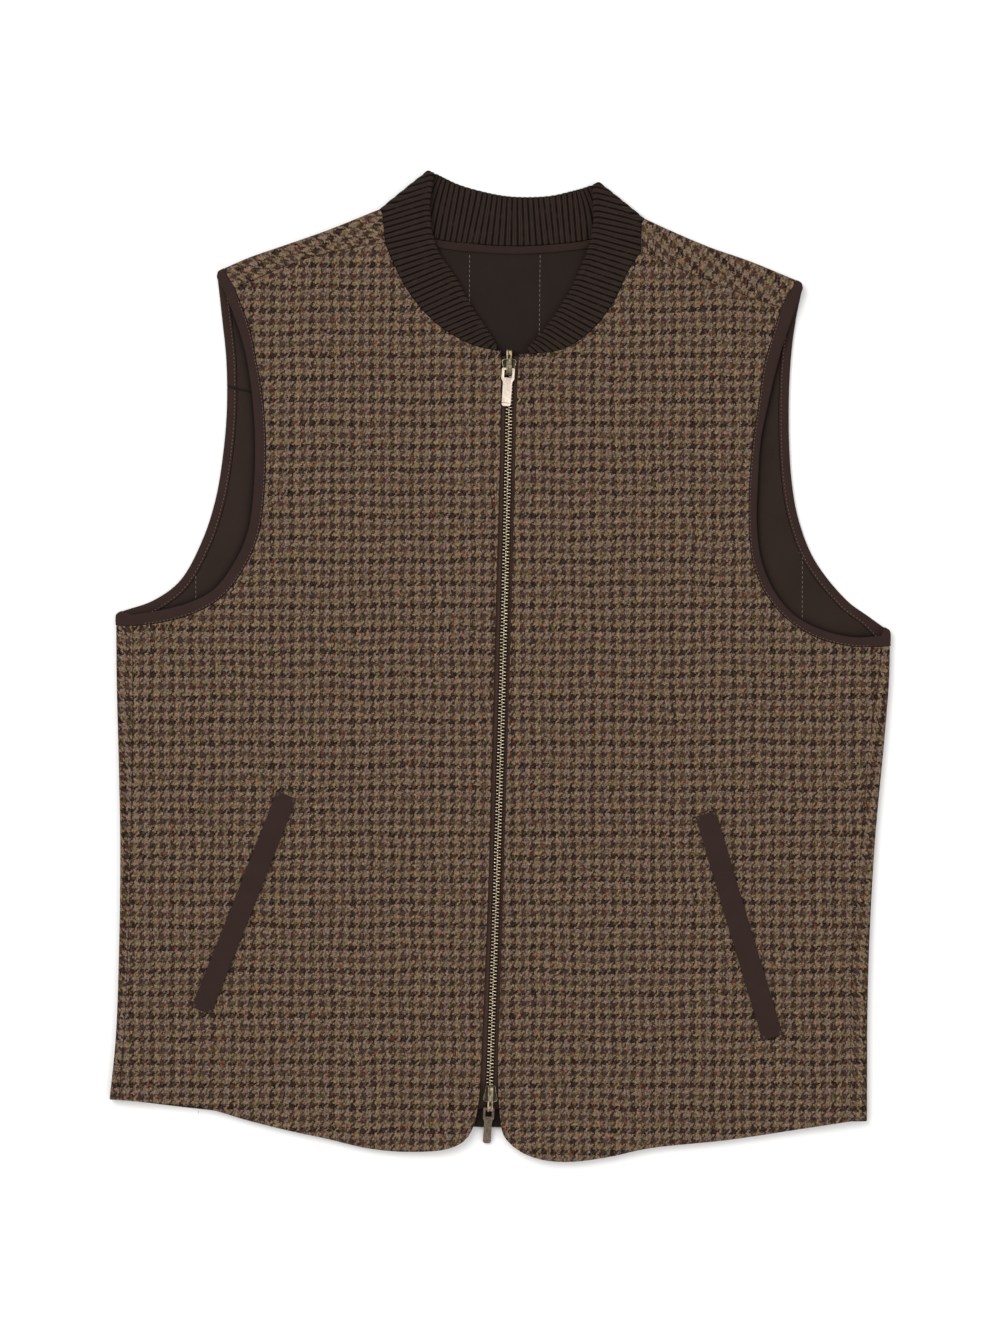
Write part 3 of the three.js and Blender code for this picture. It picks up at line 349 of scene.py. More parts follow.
def heather_group():
    """Fibres of many shades: a fine mottle drawn out along one way, and masks of rare flecks in two
    other shades. Place is in metres, Fibre is a fibre's width and Stretch how long it is."""
    tree, given, gives = new_group(
        "heather", {"Place": "Vector", "Fibre": "Float", "Stretch": "Float"},
        {"Shade": "Float", "Warm": "Float", "Cool": "Float"})
    parts = put(tree, "SeparateXYZ", {0: given["Place"]}).node.outputs
    across = calc(tree, "DIVIDE", parts[0], given["Fibre"])
    along = calc(tree, "DIVIDE", calc(tree, "DIVIDE", parts[1], given["Fibre"]), given["Stretch"])
    fibre = put(tree, "CombineXYZ", {0: across, 1: along})
    fine = put(tree, "TexNoise", {"Vector": fibre, "Scale": 1.0, "Detail": 2.0, "Roughness": 0.6})
    shade = put(tree, "MapRange", {"Value": fine, "From Min": 0.25, "From Max": 0.75})
    tree.links.new(shade, gives["Shade"])
    for name, seed, scale in (("Warm", 7.3, 0.085), ("Cool", 31.9, 0.075)):
        moved = put(tree, "VectorMath", {0: fibre, 1: (seed, seed, 0)}, operation="ADD")
        rare = put(tree, "TexNoise", {"Vector": moved, "Scale": scale, "Detail": 3.0, "Roughness": 0.7})
        mask = put(tree, "MapRange", {"Value": rare, "From Min": 0.53, "From Max": 0.66})
        tree.links.new(mask, gives[name])
    return tree


heather = heather_group()
TWEED_THREAD = 7.0 * MM / 8
TWEED_PICK = 7.96 * MM / 8


def gun_club_group():
    """A check woven of four dark and four light threads in turn, both ways, in a two-over-two twill,
    so that its blocks grow hooked corners. The dark stripes take two shades in turn, and so do the
    light ones. A thread shows where its number less the other's, in fours, is under two."""
    tree, given, gives = new_group(
        "gun_club_check", {"Place": "Vector"}, {"Colour": "Color", "Height": "Float"})
    place = given["Place"]
    for fineness, reach in ((28.0, 6.0 * MM), (800.0, 2.6 * MM)):
        drift = put(tree, "TexNoise", {"Vector": given["Place"], "Scale": fineness, "Detail": 2.0},
                    output="Color")
        drift = put(tree, "VectorMath", {0: drift, 1: (-0.5, -0.5, -0.5)}, operation="ADD")
        place = put(tree, "VectorMath", {0: drift, 1: (reach,) * 3, 2: place}, operation="MULTIPLY_ADD")
    parts = put(tree, "SeparateXYZ", {0: place}).node.outputs
    u = calc(tree, "DIVIDE", parts[0], TWEED_THREAD)
    v = calc(tree, "DIVIDE", parts[1], TWEED_PICK)
    i, j = calc(tree, "FLOOR", u), calc(tree, "FLOOR", v)

    def stripe(number, period):
        """1 on the first half of each period, else 0."""
        return calc(tree, "LESS_THAN", calc(tree, "FRACT", calc(tree, "DIVIDE", number, period)), 0.499)

    over = stripe(calc(tree, "SUBTRACT", i, j), 4.0)
    shades = {
        "warp": [colour(115, 97, 79), colour(110, 93, 82), colour(49, 34, 27), colour(62, 45, 39)],
        "weft": [colour(113, 95, 75), colour(113, 95, 81), colour(36, 24, 19), colour(59, 43, 36)]}
    threads = {}
    for name, number in (("warp", i), ("weft", j)):
        light, other_light, dark, other_dark = shades[name]
        turn = stripe(number, 16.0)
        threads[name] = blend(tree, stripe(number, 8.0), blend(tree, turn, light, other_light),
                              blend(tree, turn, dark, other_dark))
    woven = blend(tree, over, threads["weft"], threads["warp"])

    mottle = use_group(tree, heather, {"Place": place, "Fibre": 0.30 * MM, "Stretch": 1.6})
    slate = put(tree, "TexNoise", {"Vector": given["Place"], "Scale": 260.0, "Detail": 3.0, "Roughness": 0.7})
    slate = put(tree, "MapRange", {"Value": slate, "From Min": 0.57, "From Max": 0.68, "To Max": 0.5})
    woven = blend(tree, slate, woven, colour(70, 68, 64))
    woven = blend(tree, calc(tree, "MULTIPLY", mottle["Warm"], 0.42), woven, colour(124, 76, 54))
    woven = blend(tree, calc(tree, "MULTIPLY", mottle["Cool"], 0.4), woven, colour(106, 97, 58))
    gain = put(tree, "MapRange", {"Value": mottle["Shade"], "To Min": 0.565, "To Max": 1.32})
    hair = put(tree, "VectorMath", {0: given["Place"], 1: (1.0, 0.6, 1.0)}, operation="MULTIPLY")
    fray = put(tree, "TexNoise", {"Vector": hair, "Scale": 720.0, "Detail": 2.0, "Roughness": 0.7})
    fray = put(tree, "MapRange", {
        "Value": fray, "From Min": 0.3, "From Max": 0.7, "To Min": 0.25, "To Max": 1.95})
    gain = calc(tree, "MULTIPLY", gain, fray)
    bright = put(tree, "CombineXYZ", {0: gain, 1: gain, 2: gain})
    tree.links.new(blend(tree, 1.0, woven, bright, "MULTIPLY"), gives["Colour"])

    def mound(value):
        """A rounded ridge across one thread: the sine of half a turn."""
        return calc(tree, "SINE", calc(tree, "MULTIPLY", calc(tree, "FRACT", value), math.pi))

    ridge = put(tree, "Mix", {0: over, 2: mound(v), 3: mound(u)})
    height = calc(tree, "MULTIPLY_ADD", mottle["Shade"], 0.7, ridge)
    tree.links.new(height, gives["Height"])
    return tree


gun_club = gun_club_group()


def tweed_finish(tree):
    """Woven wool: the check's colours, with rounded threads and loose fibre as relief."""
    place = put(tree, "UVMap", uv_map="cloth")
    woven = use_group(tree, gun_club, {"Place": place})
    relief = put(tree, "Bump", {"Height": woven["Height"], "Strength": 0.75, "Distance": 0.35 * MM})
    return {"Base Color": woven["Colour"], "Normal": relief}


tweed = new_material("wool_tweed", tweed_finish, Roughness=0.95, Specular_IOR_Level=0.08)

lines = {}
for side, sign in SIDES.items():
    folds = side_folds[side]
    outer = smooth({"x": folds["outer"], "y": folds["y"]}, SIDE_ROWS)[::-1]
    seam = smooth({"x": folds["seam"], "y": folds["y"]}, SIDE_ROWS)[::-1]
    lines[side] = {
        "side_fold": raised(outer - [sign * (FOLD_RADIUS + TWEED / 2), 0], BACK_Z),
        "side_seam": raised(seam, FRONT_Z),
        "arm_back": raised(smooth(armhole_back[side], ARMHOLE_BACK_ROWS, "seam_x", "seam_y"), BACK_Z),
        "arm_back_free": smooth(armhole_back[side], ARMHOLE_BACK_ROWS, "free_x", "free_y"),
        "shoulder_fold": raised(even(shoulder_fold[side], SHOULDER_COLUMNS), BACK_Z),
        "shoulder_seam": raised(even(shoulder_seam[side], SHOULDER_COLUMNS), FRONT_Z)}
neck_back = raised(smooth(collar_back, NECK_COLUMNS, "seam_x", "seam_y"), BACK_Z)


def shoulder_outward(side):
    """Level directions across the shoulder fold, turned evenly from the arm to the neck."""
    share = np.linspace(0, 1, SHOULDER_COLUMNS + 1)[:, None]
    level = fold_outward[side]["arm"] * (1 - share) + fold_outward[side]["neck"] * share
    return raised(level / np.linalg.norm(level, axis=1)[:, None], 0.0)


def back_borders():
    """The hem, the top from shoulder to shoulder, and both upright edges of the flat back."""
    top = np.concatenate([
        lines["right"]["shoulder_fold"], neck_back[1:-1], lines["left"]["shoulder_fold"][::-1]])
    edges = [np.concatenate([lines[side]["side_fold"], lines[side]["arm_back"][1:]]) for side in SIDES]
    hem = raised(even(back_hem, len(top) - 1), BACK_Z)
    hem[0], hem[-1] = edges[0][0], edges[1][0]
    return hem, top, edges[0], edges[1]


def back_panel():
    """The flat back, and the stretches turned over both sides and both shoulders."""
    flat = patch(*back_borders())
    blocks = [(flat, flat[..., :2])]
    for side, sign in SIDES.items():
        line = lines[side]
        outward = np.tile([sign, 0.0, 0.0], (SIDE_ROWS + 1, 1))
        rows, places = wrapped(line["side_fold"], outward, line["side_seam"], 3)
        order = slice(None, None, sign)
        blocks.append((rows.swapaxes(0, 1)[:, order], places.swapaxes(0, 1)[:, order]))
        rows, places = wrapped(line["shoulder_fold"], shoulder_outward(side), line["shoulder_seam"], 9)
        blocks.append((rows[:, ::-sign], places[:, ::-sign]))
    return merged(blocks)


back = new_piece("back_tweed", *back_panel(), tweed, "back_panel", "tweed")
give_wall(back, TWEED, TWEED_EDGE)

# Fronts
# Right and left front of the same tweed, lying over the back: high over the zip, sides and
# shoulders, sunk a little between them, with broad soft waves. The hems are rounded off at the zip.
FRONT_SINK = 1.6 * MM
UNDERARM_ROW = -30 * MM
# Where the sink starts and is full, from the zip, the side folds and the shoulder seams, and where
# the creases start and are full, from the zip
SINK_FROM_ZIP = (19 * MM, 75 * MM)
SINK_FROM_SIDE = (12 * MM, 70 * MM)
SINK_FROM_SHOULDER = (4 * MM, 55 * MM)
CREASE_FROM_ZIP = (8 * MM, 22 * MM)
CORNER_ROWS = SIDE_ROWS // 3
armhole_front = {
    "right": table("free_x free_y seam_x seam_y", [
        [-191.9, 260.6, -185.2, 263.5], [-181.7, 232.8, -175.0, 236.0], [-176.3, 210.4, -169.8, 211.0],
        [-172.6, 182.4, -165.4, 184.0], [-171.2, 155.0, -163.6, 155.0], [-172.2, 124.0, -164.6, 122.0],
        [-176.0, 94.9, -168.8, 92.0], [-184.5, 74.5, -178.0, 70.0], [-199.2, 54.3, -193.5, 49.0],
        [-216.7, 44.5, -213.5, 37.0], [-238.0, 38.8, -237.0, 30.4], [-256.5, 35.6, -256.5, 28.0]]),
    "left": table("free_x free_y seam_x seam_y", [
        [205.3, 246.5, 196.2, 250.2], [198.8, 228.0, 190.8, 232.0], [193.2, 208.0, 184.6, 210.0],
        [187.6, 184.0, 180.8, 184.0], [182.2, 157.0, 176.8, 157.0], [180.3, 128.0, 174.2, 126.0],
        [179.6, 100.0, 174.0, 98.0], [182.5, 75.0, 176.8, 72.0], [192.0, 52.0, 186.0, 49.8],
        [206.0, 35.5, 201.0, 32.5], [226.0, 25.0, 222.5, 19.4], [247.0, 20.2, 246.5, 13.6],
        [266.2, 21.0, 266.2, 13.5]])}
collar_front = {
    "right": table("seam_x seam_y free_x free_y", [
        [-80.2, 295.8, -47.3, 303.5], [-73.2, 279.0, -42.3, 289.2], [-61.3, 258.0, -30.7, 272.0],
        [-43.1, 238.4, -17.8, 249.0], [-20.7, 225.0, -6.3, 232.0], [-1.8, 220.2, -2.5, 225.0]]),
    "left": table("seam_x seam_y free_x free_y", [
        [98.4, 289.5, 63.3, 299.0], [89.3, 275.5, 58.9, 285.4], [78.8, 253.8, 49.6, 264.6],
        [62.0, 232.8, 38.3, 246.0], [42.4, 220.9, 27.1, 231.3], [21.4, 218.0, 19.0, 222.6]])}
zip_line = table("y x edge_right edge_left", [
    [220, 6.7, 5.8, 6.9], [200, 6.5, 5.6, 5.8], [170, 6.1, 5.6, 5.1], [46, 3.3, 6.1, 4.8],
    [-143, -2.1, 5.6, 4.7], [-270, -6.4, 6.4, 5.1], [-290, -7.1, 6.7, 5.9], [-302, -7.4, 6.8, 6.3]])
front_hem = {
    "right": table("x y", [
        [-266.4, -303.0], [-232.0, -306.0], [-204.0, -309.5], [-176.0, -317.5], [-148.0, -324.5],
        [-120.0, -330.5], [-92.0, -337.0], [-64.0, -339.4], [-38.0, -337.6], [-27.5, -333.5],
        [-22.0, -328.5]]),
    "left": table("x y", [
        [245.0, -318.0], [216.0, -322.5], [160.0, -331.0], [104.0, -337.0], [76.0, -343.0],
        [55.0, -346.0], [40.0, -346.2], [28.0, -344.5], [17.0, -340.6], [9.0, -335.5]])}
hem_corner = {
    "right": table("x y", [[-22.0, -328.5], [-18.0, -320.0], [-14.4, -302.0]]),
    "left": table("x y", [[9.0, -335.5], [2.4, -327.5], [-1.1, -302.0]])}
waves = table("x y across along rise", [
    [-120, -180, 45, 90, -0.45], [-60, -40, 30, 120, 0.4], [-140, 60, 50, 60, 0.5],
    [60, -150, 34, 120, 0.45], [130, -40, 50, 80, -0.4], [110, 120, 46, 70, 0.5],
    [160, -220, 50, 60, 0.4], [-200, -120, 34, 110, 0.5], [-90, 180, 50, 50, -0.35]])
creases = table("x y far_x far_y width rise", [
    [-150, 95, -92, 60, 9, 0.34], [-158, 120, -104, 128, 11, -0.28], [-176, 20, -120, -24, 10, 0.3],
    [-238, -30, -226, -150, 8, 0.36], [-214, -60, -206, -190, 10, -0.3], [-30, 60, -26, -70, 7, 0.22],
    [-34, -110, -44, -230, 9, -0.26], [-100, -285, -60, -262, 12, 0.3], [-180, -262, -130, -285, 10, 0.28],
    [-120, 210, -84, 232, 9, -0.3], [-70, 150, -40, 96, 10, 0.24],
    [160, 108, 112, 64, 10, 0.34], [166, 60, 118, 30, 9, -0.3], [178, 20, 140, -36, 11, 0.3],
    [236, -60, 226, -160, 9, 0.34], [208, -40, 204, -170, 11, -0.28], [30, 120, 24, -10, 8, 0.24],
    [26, -80, 16, -210, 9, -0.24], [60, -290, 110, -268, 12, 0.3], [150, -285, 200, -262, 10, 0.26],
    [120, 226, 150, 200, 9, -0.28], [60, 176, 36, 130, 9, 0.24], [206, -230, 224, -290, 9, 0.26]])


def smoothstep(value, low, high):
    """0 below low, 1 above high, and three squares less two cubes of the share between."""
    t = np.clip((value - low) / (high - low), 0, 1)
    return t * t * (3 - 2 * t)


def read_at(rows, y, column):
    """One column of a table read at a height, along straight stretches between its rows."""
    order = np.argsort(rows["y"])
    return np.interp(y, rows["y"][order], rows[column][order])


zip_curve = smooth({"x": zip_line["x"], "y": zip_line["y"]}, 400)[::-1]


def zip_x(y):
    """Where the middle of the zip lies at a height."""
    return np.interp(y, zip_curve[:, 1], zip_curve[:, 0])


def beside_folds(folds, x, y):
    """For points and a table of straight folds: the share of each fold that a point is level with,
    held between 0 and 1, and the squared distance from the fold."""
    here = np.stack([x, y], -1)[..., None, :]
    start = np.stack([folds["x"], folds["y"]], -1)
    run = np.stack([folds["far_x"], folds["far_y"]], -1) - start
    share = np.clip(((here - start) * run).sum(-1) / (run**2).sum(-1), 0, 1)
    return share, ((here - start - share[..., None] * run) ** 2).sum(-1)


def front_height(x, y, fine=True):
    """Height of the fronts' middle layer: full over the zip, sides and shoulders, less a smooth sink
    between them. Each wave adds its rise times e to the minus squared distance, times the sink's
    share. Each crease adds the same across its line, fading out at its ends and beside the zip; it
    is left out where fine is false."""
    from_zip = np.abs(x - zip_x(y))
    outer = np.where(x < 0, read_at(side_folds["right"], y, "outer"), read_at(side_folds["left"], y, "outer"))
    shoulder = np.where(x < 0, 263 * MM + 0.4 * (x + 185 * MM), 250 * MM - 0.4 * (x - 196 * MM))
    from_shoulder = np.maximum(0, np.minimum(shoulder, 300 * MM) - y)
    sink = (smoothstep(from_zip, *SINK_FROM_ZIP) * smoothstep(np.abs(outer - x), *SINK_FROM_SIDE)
            * smoothstep(from_shoulder, *SINK_FROM_SHOULDER))
    here = np.stack([x, y], -1)[..., None, :]
    reach = (here - np.stack([waves["x"], waves["y"]], -1)) / np.stack([waves["across"], waves["along"]], -1)
    wave = (waves["rise"] * np.exp(-(reach**2).sum(-1))).sum(-1)
    height = FRONT_Z - FRONT_SINK * sink + wave * sink
    if not fine:
        return height
    share, away = beside_folds(creases, x, y)
    fold = creases["rise"] * np.exp(-away / creases["width"] ** 2) * np.sin(np.pi * share) ** 0.8
    return height + fold.sum(-1) * smoothstep(from_zip, *CREASE_FROM_ZIP)


for side in SIDES:
    for name, rows, steps in (("arm_front", armhole_front[side], ARMHOLE_FRONT_ROWS),
                              ("neck_front", collar_front[side], NECK_COLUMNS)):
        for kind, columns in (("", ("seam_x", "seam_y")), ("_free", ("free_x", "free_y"))):
            points = smooth(rows, steps, *columns)
            lines[side][name + kind] = raised(points, front_height(*points.T, fine=False))
    lines[side]["arm_front"][[0, -1], 2] = FRONT_Z
    lines[side]["neck_front"][0, 2] = FRONT_Z


def moved_inwards(loop, gap):
    """A closed line moved inwards, each point square to the way between its neighbours, so that the
    strip between both lines keeps its width round a corner."""
    arriving = loop - np.roll(loop, 1, 0)
    leaving = np.roll(loop, -1, 0) - loop
    area = (loop[:, 0] * np.roll(loop, -1, 0)[:, 1] - loop[:, 1] * np.roll(loop, -1, 0)[:, 0]).sum()
    arriving, leaving = (way / np.linalg.norm(way, axis=1)[:, None] for way in (arriving, leaving))
    along = arriving + leaving
    along /= np.linalg.norm(along, axis=1)[:, None]
    share = np.maximum(0.5, (along * leaving).sum(1))
    inward = np.stack([-along[:, 1], along[:, 0]], 1) * np.sign(area)
    return loop + inward * (gap / share)[:, None]


def inset(borders, gaps):
    """The four borders of a patch moved inwards, each by its own gap, still joined at the corners."""
    bottom, top, left, right = (border[:, :2] for border in borders)
    runs = [bottom, right, top[::-1], left[::-1]]
    loop = np.concatenate([run[:-1] for run in runs])
    widths = np.concatenate([np.broadcast_to(gap, len(run))[:-1] for run, gap in zip(runs, gaps)])
    moved = moved_inwards(loop, widths)
    moved = np.vstack([moved, moved[:1]])
    ends = np.cumsum([0] + [len(run) - 1 for run in runs])
    bottom, right, top, left = (moved[a:b + 1] for a, b in zip(ends[:-1], ends[1:]))
    return bottom, top[::-1], left[::-1], right


def zip_edge(side, top_y):
    """Edge of a front along the zip: round its hem corner, then straight up beside the teeth."""
    corner = even(hem_corner[side], CORNER_ROWS)
    low = np.linspace(corner[-1, 1], UNDERARM_ROW, SIDE_ROWS - CORNER_ROWS + 1)[1:]
    high = np.linspace(UNDERARM_ROW, top_y, ARMHOLE_FRONT_ROWS + 1)[1:]
    y = np.concatenate([low, high])
    x = zip_x(y) + SIDES[side] * read_at(zip_line, y, "edge_" + side)
    return np.vstack([corner, np.stack([x, y], 1)])


def front_panel(side):
    """A front's grid of points at its own height, and their places on the cloth."""
    line = lines[side]
    outer = np.concatenate([line["side_seam"], line["arm_front"][::-1][1:]])
    top = np.concatenate([line["shoulder_seam"], line["neck_front"][1:]])
    zip_side = zip_edge(side, top[-1, 1])
    hem = even(front_hem[side], len(top) - 1)
    top, outer = top[:, :2].copy(), outer[:, :2].copy()
    top[-1] = zip_side[-1]
    grid = patch(*inset((hem, top, outer, zip_side), (0.0, 0.0, SEAM_GAP, SEAM_GAP)))
    points = np.dstack([grid, front_height(grid[..., 0], grid[..., 1])])
    return merged([(points[:, ::-SIDES[side]], grid[:, ::-SIDES[side]])])


for side in SIDES:
    front = new_piece(f"front_tweed_{side}", *front_panel(side), tweed, f"front_{side}", "tweed")
    give_wall(front, TWEED, TWEED_EDGE)

# Back lining
# Thin dark-brown cloth over the inside of the back, seen in the neck and in both armholes, stitched
# down in upright channels. Its hem is faced with a darker strip. Painted shade darkens it beside the
# fronts' armhole edges, as their shadow, and all over the neck, as the collar's shade.
LINING = 0.8 * MM
LINING_Z = 2.75 * MM
EDGE_GAP = 0.15 * MM
CHANNEL_DIP = 0.28 * MM
CHANNEL_REACH = 2.2 * MM
LINING_EDGE = 0.25 * MM
LINING_HEM_INSET = 1.2 * MM
LINING_FINENESS = 3
HIDDEN_ROW_STEP = 4
# How far the painted shadow beside the fronts' armhole edges reaches, and how much painted shade the collar
# casts on the neck lining
SHADE_REACH = 1.7 * MM
NECK_SHADE = 0.42
FRONTS_INNER = 150 * MM
channels = table("top_x foot_x", [
    [-214, -211], [-165, -166], [-118, -120], [-69, -72], [-21, -25], [28.6, 21], [74, 70],
    [119, 118], [166, 168], [212.5, 210]])
CHANNEL_TOP = 330 * MM
CHANNEL_FOOT = -318 * MM
lining_folds = table("x y far_x far_y width rise", [
    [-190, 195, -172, 190, 2.2, 0.35], [182, 175, 199, 142, 2.6, 0.4], [-250, 32, -214, 46, 4, 0.35],
    [-232, 34, -196, 58, 5, -0.3], [-212, 60, -196, 80, 4, 0.3], [-180, 120, -186, 60, 5, 0.3],
    [196, 60, 214, 36, 4, 0.3], [226, 40, 252, 24, 4, 0.35], [190, 110, 186, 60, 5, -0.3],
    [-8, 285, -14, 230, 9, 0.3], [48, 280, 30, 240, 8, -0.25], [8, 250, 12, 228, 6, 0.3]])


def channel_x(number, y):
    """Where a channel's seam lies at a height, on a straight line from its foot to its top."""
    share = (y - CHANNEL_FOOT) / (CHANNEL_TOP - CHANNEL_FOOT)
    return channels["foot_x"][number] * (1 - share) + channels["top_x"][number] * share


def painted_fronts_shade(points):
    """Painted shade on the lining: 1 where it passes under a front's armhole edge, fading by a share e
    for each SHADE_REACH away from it, as a painted shadow beside that edge. In the neck it holds a
    little painted shade all over, for the collar's shade."""
    in_neck = np.abs(points[:, 0]) < FRONTS_INNER
    shade = np.where(in_neck, NECK_SHADE, 0.0)
    for side, sign in SIDES.items():
        edge = lines[side]["arm_front_free"][::4, :2]
        off = points[:, None, :2] - edge
        nearest = (off**2).sum(2).argmin(1)
        run = np.gradient(edge, axis=0)[nearest]
        off = np.take_along_axis(off, nearest[:, None, None], 1)[:, 0]
        outwards = (off[:, 0] * run[:, 1] - off[:, 1] * run[:, 0]) / np.linalg.norm(run, axis=1) * -sign
        beside = ~in_neck & (points[:, 0] * sign > 0)
        shade = np.where(beside, np.exp(-np.maximum(outwards, 0) / SHADE_REACH), shade)
    return shade


def lining_height(x, y):
    """The level of the lining, dipped at each channel seam and bent by small folds."""
    numbers = np.arange(len(channels["top_x"]))
    off = x[..., None] - channel_x(numbers, y[..., None])
    dip = np.exp(-(off / CHANNEL_REACH) ** 2).sum(-1)
    away = beside_folds(lining_folds, x, y)[1]
    fold = (lining_folds["rise"] * np.exp(-away / lining_folds["width"] ** 2)).sum(-1)
    return LINING_Z - CHANNEL_DIP * dip + fold


def fine_twill_group():
    """Slanting ribs of a fine twill: a sine across them, roughened by fibre noise. Shade goes from
    painted shade between two ribs to painted light on one, over a broad random tone. Rib is the
    distance between ribs."""
    tree, given, gives = new_group(
        "fine_twill", {"Place": "Vector", "Rib": "Float"}, {"Shade": "Float", "Height": "Float"})
    parts = put(tree, "SeparateXYZ", {0: given["Place"]}).node.outputs
    slant = calc(tree, "MULTIPLY_ADD", parts[1], 0.7, parts[0])
    wave = calc(tree, "SINE", calc(tree, "MULTIPLY", calc(tree, "DIVIDE", slant, given["Rib"]), 2 * math.pi))
    mottle = use_group(tree, heather, {"Place": given["Place"], "Fibre": 0.22 * MM, "Stretch": 3.0})
    height = calc(tree, "MULTIPLY_ADD", wave, 0.4, mottle["Shade"])
    tree.links.new(height, gives["Height"])
    broad = put(tree, "TexNoise", {"Vector": given["Place"], "Scale": 45.0, "Detail": 3.0})
    # Painted light on the ribs and painted shade between them, taken from their height, over a broad random
    # tone
    shade = calc(tree, "MULTIPLY_ADD", broad, 0.5, calc(tree, "MULTIPLY", height, 0.35))
    tree.links.new(shade, gives["Shade"])
    return tree


fine_twill = fine_twill_group()


def twill_finish(dark, light, rib, depth):
    """Makes the linked sockets of a fine twill between two colours, darkened by the painted shade that the
    piece's shade mark holds.
    """
    def links(tree):
        place = put(tree, "UVMap", uv_map="cloth")
        woven = use_group(tree, fine_twill, {"Place": place, "Rib": rib})
        relief = put(tree, "Bump", {"Height": woven["Height"], "Strength": 0.5, "Distance": depth})
        # The shade mark holds painted shade: shadow on the lining beside the fronts and in the neck, shade on
        # the zip tapes between the teeth and near the foot
        shade = put(tree, "Attribute", output=2, attribute_name="shade")
        cloth = blend(tree, calc(tree, "MULTIPLY", shade, 0.85), blend(tree, woven["Shade"], dark, light),
                      colour(8, 6, 5))
        return {"Base Color": cloth, "Normal": relief}
    return links


def mark(piece, name, values):
    """Stores a value for each point of a piece, for its material to read."""
    piece.data.attributes.new(name, "FLOAT", "POINT").data.foreach_set("value", values.astype(np.float32))


lining_cloth = new_material(
    "lining_cloth", twill_finish(colour(30, 21, 16), colour(50, 37, 32), 0.35 * MM, 0.06 * MM),
    Roughness=0.7, Specular_IOR_Level=0.1)
hem, top, right_edge, left_edge = inset(
    back_borders(), (LINING_HEM_INSET, EDGE_GAP, EDGE_GAP, EDGE_GAP))
grid = patch(hem, top, right_edge, left_edge)
grid = grid[np.r_[0:SIDE_ROWS:HIDDEN_ROW_STEP, SIDE_ROWS:len(grid)]]
fine_share = np.linspace(0, 1, LINING_FINENESS * (grid.shape[1] - 1) + 1) * (grid.shape[1] - 1)
low_column = np.minimum(fine_share.astype(int), grid.shape[1] - 2)
part = (fine_share - low_column)[None, :, None]
grid = grid[:, low_column] * (1 - part) + grid[:, low_column + 1] * part
points = np.dstack([grid, lining_height(grid[..., 0], grid[..., 1])])
lining_points, faces, places = merged([(points, grid)])
lining = new_piece("back_lining_cloth", lining_points, faces, places, lining_cloth, "back_lining", "lining")
# Painted shade on the lining: shadow beside the fronts' armhole edges and the collar's shade in the neck
mark(lining, "shade", painted_fronts_shade(lining_points))
give_wall(lining, LINING, LINING_EDGE)

HEM_FACING = 5.0 * MM
FACING_SETBACK = 0.5 * MM
FACING_WALL = 0.7 * MM
FACING_EDGE = 0.2 * MM
facing_cloth = new_material(
    "hem_facing_cloth", twill_finish(colour(17, 16, 13), colour(34, 32, 26), 0.5 * MM, 0.08 * MM),
    Roughness=0.8, Specular_IOR_Level=0.1)
share = np.linspace(0, 1, 5)[:, None, None]
strip = hem[1:-1] + [0, -FACING_SETBACK] + share * [0, HEM_FACING]
points = np.dstack([strip, np.full(strip.shape[:2], LINING_Z + LINING)])
facing = new_piece("hem_facing", *merged([(points, strip)]), facing_cloth, None, "lining")
give_wall(facing, FACING_WALL, FACING_EDGE)


def sew(name, middles, ways, length, radius, thread, slot):
    """Stitches as one piece: each is a thin six-sided body along its way, highest in the middle and
    dipping into the cloth at its ends."""
    along = np.array([-0.5, -0.4, 0.0, 0.4, 0.5])[:, None] * length
    girth = np.array([0.25, 0.8, 1.0, 0.8, 0.25])[:, None] * radius
    lift = np.array([-0.6, 0.2, 0.5, 0.2, -0.6])[:, None] * radius
    turn = np.arange(6) * math.pi / 3
    form = np.stack([np.broadcast_to(along, (5, 6)), girth * np.cos(turn), lift + girth * np.sin(turn)], -1)
    axes = np.stack([ways, np.cross(UP, ways), np.broadcast_to(UP, ways.shape)], 1)
    points = (middles[:, None] + form.reshape(-1, 3) @ axes).reshape(-1, 3)
    shell = ring_faces(5, 6)
    caps = np.array([[0, 5, 4, 3, 2, 1], [24, 25, 26, 27, 28, 29]])
    starts = np.arange(len(middles))[:, None, None] * 30
    faces = (shell + starts).reshape(-1, 4).tolist() + (caps + starts).reshape(-1, 6).tolist()
    new_piece(name, points, faces, points[:, :2], thread, None, slot)


def ring_faces(count, size, closed=False):
    """Four-sided faces between neighbouring rings of points, all round each ring."""
    a = np.arange(count if closed else count - 1)[:, None] * size
    b = (a + size) % (count * size)
    k = np.arange(size)[None, :]
    after = (k + 1) % size
    return np.stack([a + k, b + k, b + after, a + after], -1).reshape(-1, 4)


def thread_finish(dark, light, fineness):
    """Makes the linked sockets of a sewing thread: a fine grain between two colours."""
    def links(tree):
        place = put(tree, "TexCoord", output="Object")
        grain = put(tree, "TexNoise", {"Vector": place, "Scale": fineness, "Detail": 2.0})
        return {"Base Color": blend(tree, grain, dark, light)}
    return links


pale_thread = new_material(
    "pale_thread", thread_finish(colour(96, 80, 68), colour(150, 130, 112), 2600.0), Roughness=0.7,
    Sheen_Weight=0.1)
CHANNEL_STITCH = 2.3 * MM
CHANNEL_PITCH = 3.4 * MM
CHANNEL_THREAD = 0.16 * MM
CHANNEL_CLEAR = 6 * MM
IN_NECK = 160 * MM
